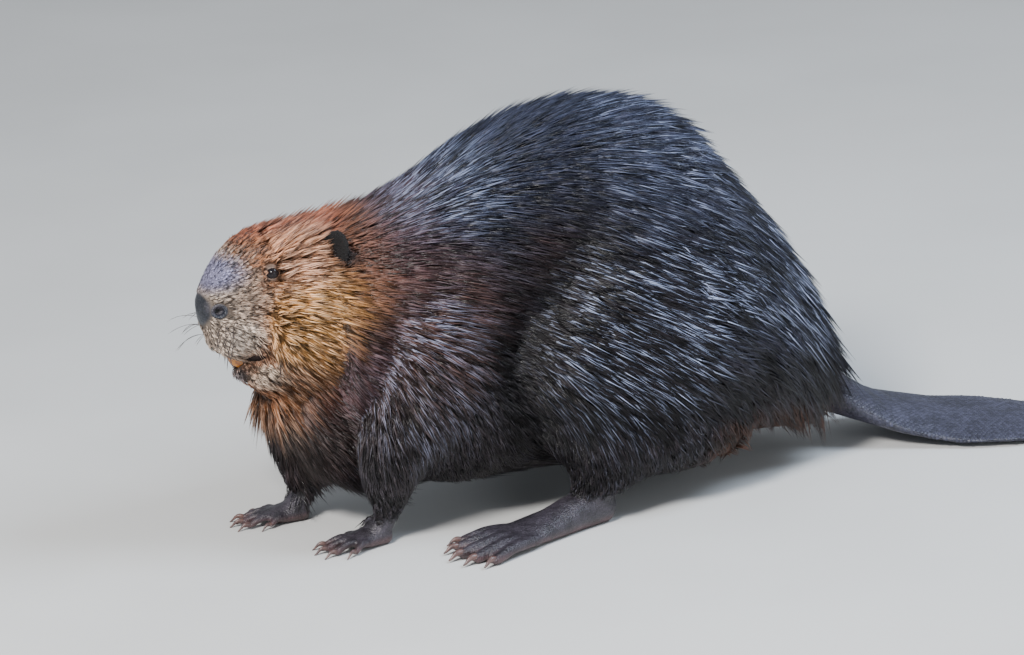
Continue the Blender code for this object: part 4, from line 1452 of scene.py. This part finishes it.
@dataclass(frozen=True)
class ScaleFinish(Finish):
    """Leathery scales, each a little lighter or darker than its neighbours."""

    def colour(self, bench: Bench) -> Wire:
        """Tint by scale, by broad stains, and painted shade at the rims."""
        stains = bench.noise(bench.here(), 28.0, 4.0, 0.6)
        light = bench.step(bench.mark("tone"), 0.0, 1.0, 0.70, 1.30) * bench.step(stains, 0.3, 0.7, 0.7, 1.3)
        return bench.mark("tint", "Color") * light * bench.step(bench.mark("shade"), 0.0, 0.8, 0.78, 1.06)


@dataclass(frozen=True)
class PlainFinish(Finish):
    """A hard piece in two colours that run into each other in soft clouds, with a fine grain."""

    first: Colour = (0.5, 0.5, 0.5)
    second: Colour = (0.5, 0.5, 0.5)
    scale: float = 120.0
    depth: float = 0.0001

    def colour(self, bench: Bench) -> Wire:
        """Two colours by noise."""
        return bench.mix(bench.step(bench.noise(bench.here(), self.scale), 0.3, 0.7), self.first, self.second)

    def relief(self, bench: Bench) -> tuple[Wire, float]:
        """Fine grain."""
        return bench.noise(bench.here(), self.scale * 3, 4.0, 0.6), self.depth


EYE_GLOSS = PlainFinish("eye_gloss", roughness=0.10, shine=0.22, first=(0.004, 0.004, 0.007),
                        second=(0.020, 0.014, 0.013), scale=700.0, depth=0.0)
TOOTH_ENAMEL = PlainFinish("tooth_enamel", roughness=0.25, coat=0.4, first=(0.58, 0.22, 0.03),
                           second=(0.30, 0.09, 0.02), scale=260.0, depth=0.0002)
# Painted shade inside the mouth: the lining is near-black.
MOUTH_SHADE = PlainFinish("mouth_flesh", roughness=0.75, shine=0.15, first=(0.006, 0.004, 0.004),
                          second=(0.012, 0.006, 0.006))
CLAW_HORN = PlainFinish("claw_horn", roughness=0.32, first=(0.150, 0.085, 0.075),
                        second=(0.060, 0.040, 0.042), scale=150.0, depth=0.0003)
WHISKER_HAIR = PlainFinish("whisker_hair", roughness=0.4, first=(0.030, 0.022, 0.020),
                           second=(0.060, 0.045, 0.040))
FLOOR_PAINT = PlainFinish("floor_paint", roughness=0.8, shine=0.2, first=(0.62, 0.62, 0.61),
                          second=(0.66, 0.66, 0.65), scale=3.0, depth=0.0)
COAT_HAIR = CoatFinish("coat_hair", roughness=0.36)
SKIN_LEATHER = SkinFinish("skin_leather", roughness=0.42)
TAIL_SCALE = ScaleFinish("tail_scale", roughness=0.42, shine=0.40)


# ---------------------------------------------------------------- separate pieces
@dataclass
class Eyes:
    """Two dark eyeballs with a slightly bulged cornea."""

    bulge: float = 0.0006
    segments: int = 48
    rings: int = 32

    def build(self) -> None:
        """Makes and seats both eyes."""
        material = EYE_GLOSS.material()
        for side, sign in SIDES.items():
            mesh = bmesh.new()
            bmesh.ops.create_uvsphere(mesh, u_segments=self.segments, v_segments=self.rings, radius=EYE_RADIUS)
            for vertex in mesh.verts:
                ahead = vertex.co.normalized().z
                vertex.co *= 1 + self.bulge / EYE_RADIUS * max(0.0, ahead) ** 6
            turn = Vector((0, 0, 1)).rotation_difference(HEAD.gaze(sign)).to_matrix().to_4x4()
            middle = Matrix.Translation(middle_of("eye_" + side))
            bmesh.ops.transform(mesh, matrix=middle @ turn, verts=mesh.verts)
            seat("eyeball_" + side, mesh, material, "eye_gloss", "eye_" + side)


def tube(mesh: bmesh.types.BMesh, path: list[Vector], wide: list[float], tall: list[float], across: Vector,
         sides: int) -> None:
    """A closed tube along a path, with an oval section at each point, rounded off at both ends.

    Args:
        mesh: what it is added to.
        path: the middle of each section.
        wide: half widths.
        tall: half heights.
        across: the way the width runs.
        sides: how many sides it has.
    """
    loops = []
    for k, middle in enumerate(path):
        ahead = (path[min(k + 1, len(path) - 1)] - path[max(k - 1, 0)]).normalized()
        side = (across - ahead * across.dot(ahead)).normalized()
        up = side.cross(ahead).normalized()
        loop = []
        for turn in range(sides):
            angle = math.tau * turn / sides
            place = middle + side * math.cos(angle) * wide[k] + up * math.sin(angle) * tall[k]
            loop.append(mesh.verts.new(place))
        loops.append(loop)
    for one, two in zip(loops, loops[1:]):
        for k in range(sides):
            mesh.faces.new((one[k], one[(k + 1) % sides], two[(k + 1) % sides], two[k]))
    for loop, ahead in ((loops[0][::-1], path[0] - path[1]), (loops[-1], path[-1] - path[-2])):
        middle = sum((v.co for v in loop), Vector()) / sides
        cap = mesh.verts.new(middle + ahead.normalized() * wide[0 if loop[0] in loops[0] else -1] * 0.5)
        for k in range(sides):
            mesh.faces.new((loop[k], loop[(k + 1) % sides], cap))


@dataclass
class Mouth:
    """The two orange front teeth, and the flesh behind them that closes the mouth, near-black as painted shade
    inside the mouth.
    """

    width: float = 0.0076
    depth: float = 0.0150
    seat_back: float = 0.0068
    curve: float = 0.0012
    sections: int = 9
    lining_radii: tuple[float, float, float] = (0.021, 0.022, 0.0070)
    lining_place: tuple[float, float, float] = (0.0, 0.0600, -0.0500)

    def build(self) -> None:
        """Makes and seats both."""
        self._teeth()
        self._flesh()

    def _teeth(self) -> None:
        """The pair of incisors, curving down and back."""
        low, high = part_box("incisors")
        mesh = bmesh.new()
        middle = (low + high) / 2
        drop = high.z - low.z
        for sign in SIDES.values():
            path, wide, tall = [], [], []
            for k in range(self.sections):
                t = k / (self.sections - 1)
                root = Vector((middle.x, middle.y, high.z)) + HEAD.side * sign * self.width * 0.47
                bent = self.seat_back - self.curve * math.sin(3.0 * t)
                path.append(root - HEAD.up * drop * 0.80 * t + HEAD.back * bent)
                wide.append(self.width * (0.50 - 0.04 * t * t))
                tall.append(self.depth * (1 - 0.45 * t ** 3))
            tube(mesh, path, wide, tall, HEAD.side, 16)
        bmesh.ops.recalc_face_normals(mesh, faces=mesh.faces)
        seat("incisor_pair", mesh, TOOTH_ENAMEL.material(), "tooth_enamel", "incisors")

    def _flesh(self) -> None:
        """A lining between the jaws, near-black as painted shade inside the mouth."""
        mesh = bmesh.new()
        bmesh.ops.create_uvsphere(mesh, u_segments=32, v_segments=16, radius=1.0)
        width, length, height = self.lining_radii
        turn = Matrix((HEAD.side * width, HEAD.back * length, HEAD.up * height)).transposed().to_4x4()
        middle = Matrix.Translation(HEAD.place(*self.lining_place))
        bmesh.ops.transform(mesh, matrix=middle @ turn, verts=mesh.verts)
        bmesh.ops.recalc_face_normals(mesh, faces=mesh.faces)
        seat("mouth_lining", mesh, MOUTH_SHADE.material(), "bare_skin", "head")


@dataclass(frozen=True)
class Toe:
    """One toe: how far out it starts, its spread in radians, its share of the reach and its thickness."""

    out: float
    spread: float
    reach: float
    thick: float


@dataclass(frozen=True)
class FootPlan:
    """Where a foot's toes and claws lie, as in the solids."""

    place: tuple[float, float]
    turn: float
    toes: tuple[Toe, ...]
    root: float
    root_outer: float
    length: float
    claw: float
    share: float
    drop: float
    tip_height: float
    taper: float

    @classmethod
    def fore(cls, place: tuple[float, float], turn: float) -> "FootPlan":
        """A forefoot, by its wrist's place and its turn in degrees."""
        return cls(place, turn, FINGERS, root=-0.022, root_outer=-0.015, length=0.032, claw=0.0125, share=0.4,
                   drop=0.0028, tip_height=0.0040, taper=0.86)

    @classmethod
    def hind(cls, place: tuple[float, float], turn: float) -> "FootPlan":
        """A hind foot, by its heel's place and its turn in degrees."""
        return cls(place, turn, TOES, root=-0.086, root_outer=-0.086, length=0.066, claw=0.0150, share=0.5,
                   drop=0.0022, tip_height=0.0054, taper=0.84)


FINGERS = (Toe(-0.0135, -0.42, 0.55, 0.0036), Toe(-0.0080, -0.20, 0.90, 0.0042),
           Toe(-0.0005, -0.02, 1.0, 0.0044), Toe(0.0075, 0.17, 0.93, 0.0043), Toe(0.0132, 0.42, 0.72, 0.0039))
TOES = (Toe(-0.0235, -0.20, 0.72, 0.0054), Toe(-0.0125, -0.10, 0.90, 0.0062), Toe(0.0, 0.0, 1.0, 0.0070),
        Toe(0.0125, 0.10, 0.97, 0.0070), Toe(0.0235, 0.22, 0.84, 0.0062))
FEET_ORIGIN = (0.0028, -0.20108)
FEET = {
    "forefoot_left": FootPlan.fore((0.060, -0.107), 4),
    "forefoot_right": FootPlan.fore((-0.047, -0.150), -8),
    "hindfoot_left": FootPlan.hind((0.114, 0.093), 12),
    "hindfoot_right": FootPlan.hind((-0.114, 0.104), -14),
}


@dataclass
class Claws:
    """A curved, tapering claw on each finger and toe."""

    stoutness: float = 0.66
    reach: float = 1.12
    arch: float = 0.0022
    sections: int = 8

    def build(self) -> None:
        """Makes and seats the claws of all four feet."""
        material = CLAW_HORN.material()
        for name, plan in FEET.items():
            side = 1.0 if name.endswith("left") else -1.0
            mesh = bmesh.new()
            for toe in plan.toes:
                self._claw(mesh, plan, toe, toe in (plan.toes[0], plan.toes[-1]), side)
            bmesh.ops.recalc_face_normals(mesh, faces=mesh.faces)
            seat("claws_" + name, mesh, material, "bare_skin", name)

    def _claw(self, mesh: bmesh.types.BMesh, plan: FootPlan, toe: Toe, outer: bool, side: float) -> None:
        """Adds one claw at its toe's tip.

        Args:
            mesh: what it is added to.
            plan: the foot.
            toe: the toe.
            outer: whether it is one of the two outermost toes.
            side: 1 for a left foot, -1 for a right one.
        """
        turn = Matrix.Rotation(math.radians(plan.turn), 3, "Z")
        ahead = turn @ Vector((math.sin(toe.spread * side), -math.cos(toe.spread), 0))
        root = turn @ Vector((toe.out * side, plan.root_outer if outer else plan.root, 0))
        foot = Vector((plan.place[0] + FEET_ORIGIN[0], plan.place[1] + FEET_ORIGIN[1], 0))
        tip = root + ahead * plan.length * toe.reach + foot
        tip.z = plan.tip_height
        girth = toe.thick * plan.taper * self.stoutness
        length = plan.claw * (1 - plan.share + plan.share * toe.reach) * self.reach
        path, wide, tall = [], [], []
        for k in range(self.sections):
            t = k / (self.sections - 1)
            rise = self.arch * math.sin(math.pi * min(t * 1.25, 1.0)) - (plan.drop + 0.0012) * t * t
            path.append(tip + ahead * (length * t + girth * 0.1) + Vector((0, 0, rise + girth * 0.2)))
            wide.append(girth * (0.95 - 0.80 * t ** 1.3))
            tall.append(girth * (1.05 - 0.86 * t ** 1.3))
        tube(mesh, path, wide, tall, Vector((0, 0, 1)).cross(ahead), 10)


class Surface:
    """The finished skin as a surface to set shapes on."""

    def __init__(self, skin: bpy.types.Object) -> None:
        """Makes its search tree."""
        mesh = skin.data
        self.tree = BVHTree.FromPolygons([v.co for v in mesh.vertices], [p.vertices for p in mesh.polygons])

    def ground(self, name: str, spots: list[dict]) -> bpy.types.Object:
        """A ground of loose points that carry the measures of the shapes.

        Args:
            name: the name of the piece to be grown.
            spots: place, way, rise, span, wide and tint of each shape.

        Returns:
            The ground.
        """
        mesh = bpy.data.meshes.new(name + "_ground")
        mesh.from_pydata([spot["place"] for spot in spots], [], [])
        for key in ("way", "rise", "span", "wide", "tint"):
            keep(mesh, key, np.array([spot[key] for spot in spots], float))
        return piece_from(name + "_ground", mesh)


@dataclass
class Whiskers:
    """Stiff dark whiskers on both sides of the muzzle, and a few over the eyes."""

    rows: int = 3
    in_row: int = 4
    first_back: float = 0.016
    back_pitch: float = 0.0055
    first_drop: float = 0.012
    row_pitch: float = 0.0075
    strays: float = 0.001
    length: float = 0.058
    over_eye: int = 3
    brow_back: float = 0.050
    brow_pitch: float = 0.004
    brow_rise: float = 0.044
    brow_length: float = 0.024
    seed: int = 41
    shape_seed: int = 400

    def build(self, surface: Surface, tree: bpy.types.GeometryNodeTree) -> None:
        """Sets and seats them.

        Args:
            surface: the skin.
            tree: the tree that sets one shape at each point.
        """
        draw = np.random.default_rng(self.seed)
        spots = []
        for sign in SIDES.values():
            for row in range(self.rows):
                for k in range(self.in_row):
                    back = self.first_back + self.back_pitch * k + draw.uniform(-self.strays, self.strays)
                    rise = -self.first_drop - self.row_pitch * row + draw.uniform(-self.strays, self.strays)
                    aim = HEAD.side * sign * 0.75 - HEAD.back * draw.uniform(0.10, 0.45)
                    aim = aim - HEAD.up * (0.12 + 0.10 * row)
                    span = self.length * draw.uniform(0.65, 1.15)
                    spots.append(self._spot(surface, sign, back, rise, aim, span))
            for k in range(self.over_eye):
                aim = HEAD.side * sign * 0.7 + HEAD.up * 0.6 + HEAD.back * 0.3
                back = self.brow_back + self.brow_pitch * k
                spots.append(self._spot(surface, sign, back, self.brow_rise, aim, self.brow_length))
        ground = surface.ground("whiskers", spots)
        shapes = [LockKind.WHISKER.value.mesh(f"whisker_{k}", self.shape_seed + k) for k in range(3)]
        values = {"Shapes": shapes_of("whiskers", shapes), "Seed": 7, "Sway": 0.10, "Ruffle": 0.10,
                  "Unevenness": 0.05, "Finish": WHISKER_HAIR.material()}
        hand_over(grown_on(ground, tree, values), "dark_fur", "head")

    @staticmethod
    def _spot(surface: Surface, sign: float, back: float, rise: float, aim: Vector, span: float) -> dict:
        """One whisker's root on the muzzle.

        Args:
            surface: the skin.
            sign: 1 for the left side, -1 for the right.
            back: how far behind the nose tip.
            rise: how far above it.
            aim: the way it points.
            span: its length.

        Returns:
            The spot's measures.
        """
        outside = HEAD.place(sign * 0.08, back, rise)
        place, normal, _, _ = surface.tree.ray_cast(outside, -HEAD.side * sign)
        way = aim.normalized()
        upright = (HEAD.up - way * HEAD.up.dot(way)).normalized()
        return {"place": place - normal * 0.0006, "way": way, "rise": upright, "span": span, "wide": 1.0,
                "tint": Tint.LIP.value}


@dataclass
class TailScales:
    """Low six-sided scales in staggered rows over both faces of the tail."""

    pitch: float = 0.0042
    row_pitch: float = 0.0033
    height: float = 0.00028
    floor_room: float = 0.0012
    least_facing: float = 0.12
    root_end: float = 0.14
    root_fade: float = 0.09
    shape_seed: int = 500

    def shape(self, name: str, seed: int) -> bpy.types.Mesh:
        """A scale of length one along Y, raised towards its hind edge.

        Args:
            name: the mesh's name.
            seed: what its random draws start from.

        Returns:
            A closed mesh with its shade stored.
        """
        draw = np.random.default_rng(seed)
        mesh = bmesh.new()
        rings, shade = [], []
        # lit runs from 0 at the rim to 1 on top, for painted shade at each scale's rim.
        for reach, rise, lit in ((1.0, -0.35, 0.0), (0.86, 0.45, 0.35), (0.45, 1.0, 1.0)):
            ring = []
            for k in range(6):
                angle = math.tau * (k + 0.5) / 6
                uneven = 1 + draw.uniform(-0.08, 0.08) * (reach > 0.5)
                x = math.cos(angle) * self.pitch * 0.56 * reach * uneven
                y = math.sin(angle) * 0.60 * reach * uneven
                ring.append(mesh.verts.new((x, y, self.height * (rise + 0.5 * y * (rise > 0)))))
                shade.append(lit)
            rings.append(ring)
        for one, two in zip(rings, rings[1:]):
            for k in range(6):
                mesh.faces.new((one[k], one[(k + 1) % 6], two[(k + 1) % 6], two[k]))
        mesh.faces.new(rings[-1])
        mesh.faces.new(rings[0][::-1])
        bmesh.ops.recalc_face_normals(mesh, faces=mesh.faces)
        data = bpy.data.meshes.new(name)
        mesh.to_mesh(data)
        mesh.free()
        data.shade_smooth()
        keep(data, "shade", np.array(shade))
        return data

    def build(self, surface: Surface, tree: bpy.types.GeometryNodeTree) -> None:
        """Sets and seats them.

        Args:
            surface: the skin.
            tree: the tree that sets one shape at each point.
        """
        low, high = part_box("tail")
        spots = []
        rows = int((high.y - low.y) / self.row_pitch)
        for row in range(rows):
            y = low.y + self.row_pitch * (row + 0.5)
            for column in range(int((high.x - low.x) / self.pitch) + 1):
                x = low.x + self.pitch * (column + 0.5 * (row % 2))
                for sign in (1.0, -1.0):
                    spot = self._spot(surface, Vector((x, y, 0.3 * sign + 0.02)), Vector((0, 0, -sign)))
                    if spot:
                        spots.append(spot)
        ground = surface.ground("tail_scales", spots)
        shapes = [self.shape(f"scale_{k}", self.shape_seed + k) for k in range(4)]
        values = {"Shapes": shapes_of("scales", shapes), "Seed": 9, "Sway": 0.05, "Ruffle": 0.02,
                  "Unevenness": 0.06, "Finish": TAIL_SCALE.material()}
        hand_over(grown_on(ground, tree, values), "tail_skin", "tail")

    def _spot(self, surface: Surface, start: Vector, aim: Vector) -> dict | None:
        """One scale's seat above or below, or nothing off the tail or where the coat covers it.

        Args:
            surface: the skin.
            start: where the search starts.
            aim: the way it looks, up or down.

        Returns:
            The spot's measures, or None.
        """
        place, normal, _, _ = surface.tree.ray_cast(start, aim)
        if place is None or place.z < self.floor_room or normal.dot(aim) > -self.least_facing:
            return None
        if ZONES.name_at(place) != "tail":
            return None
        way = Vector((0.25, 1, 0))
        way = (way - normal * way.dot(normal)).normalized()
        root = 1 - min(max((place.y - self.root_end) / self.root_fade, 0.0), 1.0)
        tint = Vector(Tint.PADDLE.value).lerp(Vector(Tint.PADDLE_ROOT.value), root)
        return {"place": place, "way": way, "rise": normal, "span": self.row_pitch * 1.12, "wide": 1.0,
                "tint": tint}


# ---------------------------------------------------------------- studio
@dataclass
class Studio:
    """Floor, light and camera."""

    azimuth: float = 68.0
    elevation: float = 17.0
    roll: float = 3.0
    distance: float = 5.0
    view_width: float = 0.9942
    target_right: float = 0.0505
    target_up: float = 0.1730
    origin: Vector = field(default_factory=lambda: Vector((0.0028, -0.2011, 0.0)))
    sensor: float = 36.0
    sky: Colour = (0.86, 0.92, 1.0)
    sky_strength: float = 0.48
    floor_half: float = 8.0

    def build(self) -> None:
        """Makes all of it."""
        self._camera()
        self._lights()
        self._floor()

    def _camera(self) -> None:
        """The camera, off the left shoulder and a little above."""
        azimuth, elevation, roll = map(math.radians, (self.azimuth, self.elevation, self.roll))
        back = Vector((math.sin(azimuth) * math.cos(elevation), -math.cos(azimuth) * math.cos(elevation),
                       math.sin(elevation)))
        level = Vector((math.cos(azimuth), math.sin(azimuth), 0))
        upright = back.cross(level)
        right = level * math.cos(roll) - upright * math.sin(roll)
        up = level * math.sin(roll) + upright * math.cos(roll)
        target = self.origin + right * self.target_right + up * self.target_up
        data = bpy.data.cameras.new("camera")
        data.sensor_width = self.sensor
        data.lens = self.sensor * self.distance / self.view_width
        data.clip_end = 50.0
        camera = bpy.data.objects.new("camera", data)
        bpy.context.scene.collection.objects.link(camera)
        place = Matrix((right, up, back)).transposed().to_4x4()
        place.translation = target + back * self.distance
        camera.matrix_world = place
        bpy.context.scene.camera = camera

    def _lights(self) -> None:
        """A wide soft sky, a key from above and ahead, and a low fill."""
        world = bpy.data.worlds.new("studio")
        bpy.context.scene.world = world
        world.use_nodes = True
        background = world.node_tree.nodes["Background"]
        background.inputs["Color"].default_value = (*self.sky, 1.0)
        background.inputs["Strength"].default_value = self.sky_strength
        for name, place, size, power, colour in (
            ("key", Vector((1.8, -2.0, 2.5)), 0.8, 175.0, (1.0, 0.975, 0.945)),
            ("top", Vector((0.9, 1.3, 2.1)), 1.2, 60.0, (0.72, 0.84, 1.0)),
            ("fill", Vector((2.8, 0.6, 0.9)), 1.6, 16.0, (0.90, 0.95, 1.0)),
        ):
            data = bpy.data.lights.new(name, "AREA")
            data.shape = "DISK"
            data.size = size
            data.energy = power
            data.color = colour
            light = bpy.data.objects.new(name, data)
            light.location = place
            light.rotation_euler = (Vector((0, 0, 0.15)) - place).to_track_quat("-Z", "Y").to_euler()
            bpy.context.scene.collection.objects.link(light)

    def _floor(self) -> None:
        """A pale, level floor."""
        mesh = bmesh.new()
        bmesh.ops.create_grid(mesh, x_segments=2, y_segments=2, size=self.floor_half)
        floor = piece_from("floor", mesh)
        floor.data.materials.append(FLOOR_PAINT.material())


# ---------------------------------------------------------------- the whole animal
def unwrap(skin: bpy.types.Object) -> None:
    """Unwraps the skin by its own shape.

    Args:
        skin: the skin.
    """
    bpy.ops.object.select_all(action="DESELECT")
    bpy.context.view_layer.objects.active = skin
    skin.select_set(True)
    skin.data.uv_layers.new(name="unwrap")
    bpy.ops.object.mode_set(mode="EDIT")
    bpy.ops.mesh.select_all(action="SELECT")
    bpy.ops.uv.smart_project(angle_limit=math.radians(70), island_margin=0.001)
    bpy.ops.object.mode_set(mode="OBJECT")


def parts_of_coat(places: np.ndarray, zone: dict[str, np.ndarray]) -> np.ndarray:
    """The part of the coat that each point belongs to.

    Args:
        places: the skin's points.
        zone: the share of each node at each point.

    Returns:
        The part's number for each point.
    """
    nearest = np.array(FLESH)[np.argmax(np.stack([zone[name] for name in FLESH]), axis=0)]
    _, back, rise = HEAD.measure(places).T
    left = places[:, 0] > 0
    part = np.where(left, Part.FLANK_LEFT, Part.FLANK_RIGHT)
    part = np.where(places[:, 1] < -0.16, np.where(left, Part.SHOULDER_LEFT, Part.SHOULDER_RIGHT), part)
    part = np.where(places[:, 1] > -0.03, np.where(left, Part.RUMP_LEFT, Part.RUMP_RIGHT), part)
    part = np.where(nearest == "neck", Part.NECK, part)
    part = np.where(np.char.startswith(nearest, "fore"), Part.FORELEGS, part)
    part = np.where((nearest == "head") | np.char.startswith(nearest, "ear"), Part.CHEEKS, part)
    part = np.where((part == Part.CHEEKS) & (back - 0.25 * np.minimum(rise, 0.02) < 0.050), Part.FACE, part)
    return part.astype(float)


GROWTHS = (
    Growth(Part.FACE, LockKind.FUZZ, 105000, 11, sway=0.18, ruffle=0.10, unevenness=0.35),
    Growth(Part.CHEEKS, LockKind.FACE, 190000, 12, sway=0.12, ruffle=0.12, unevenness=0.35),
    Growth(Part.NECK, LockKind.GUARD, 170000, 13, sway=0.08, ruffle=0.08),
    Growth(Part.FORELEGS, LockKind.GUARD, 145000, 14, sway=0.11),
    Growth(Part.FLANK_LEFT, LockKind.GUARD, 146000, 15, sway=0.06, ruffle=0.06),
    Growth(Part.FLANK_RIGHT, LockKind.GUARD, 115000, 16, sway=0.06, ruffle=0.06),
    Growth(Part.RUMP_LEFT, LockKind.WET, 190000, 17, sway=0.09, ruffle=0.08),
    Growth(Part.RUMP_RIGHT, LockKind.WET, 150000, 18, sway=0.09, ruffle=0.08),
    Growth(Part.SHOULDER_LEFT, LockKind.GUARD, 100000, 19, sway=0.06, ruffle=0.06),
    Growth(Part.SHOULDER_RIGHT, LockKind.GUARD, 84000, 20, sway=0.06, ruffle=0.06),
)


def haired_area(mesh: bpy.types.Mesh, part: np.ndarray, cover: np.ndarray, wanted: Part) -> float:
    """The area of one part of the coat, thinned by its cover.

    Args:
        mesh: the skin's mesh.
        part: the part that each point belongs to.
        cover: how thickly each point is haired, from 0 to 1.
        wanted: the part that is measured.

    Returns:
        The area in square metres.
    """
    mesh.calc_loop_triangles()
    corners = rows_of(mesh.loop_triangles, "vertices", 3, np.int32)
    areas = rows_of(mesh.loop_triangles, "area", 1)[:, 0]
    mine = np.abs(part[corners] - wanted).mean(axis=1) <= 0.5
    return float((areas * cover[corners].mean(axis=1) * mine).sum())


def main() -> None:
    """Builds the animal and its setting, piece by piece."""
    logging.basicConfig(level=logging.INFO, format="%(relativeCreated)6d %(message)s")
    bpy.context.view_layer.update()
    Studio().build()
    skin = Skin().build()
    zone = LieOfCoat(skin).store()
    part = parts_of_coat(places_of(skin.data), zone)
    keep(skin.data, "part", part)
    log.info("measures stored")
    unwrap(skin)
    log.info("unwrapped")
    cover = rows_of(skin.data.attributes["cover"].data, "value", 1)[:, 0]
    scattering = GrowTree("scattered_growth", True).tree()
    placing = GrowTree("placed_growth", False).tree()
    hair = COAT_HAIR.material()
    for growth in GROWTHS:
        area = haired_area(skin.data, part, cover, growth.part)
        hand_over(growth.grow(skin, scattering, hair, area), growth.slot, *HAIRED)
    surface = Surface(skin)
    Whiskers().build(surface, placing)
    TailScales().build(surface, placing)
    skin.data.uv_layers["unwrap"].name = BAKE_MAP
    skin.data.materials.append(SKIN_LEATHER.material())
    hand_over(skin, "bare_skin", *FLESH)
    Eyes().build()
    Mouth().build()
    Claws().build()


if __name__ == "__main__":
    main()
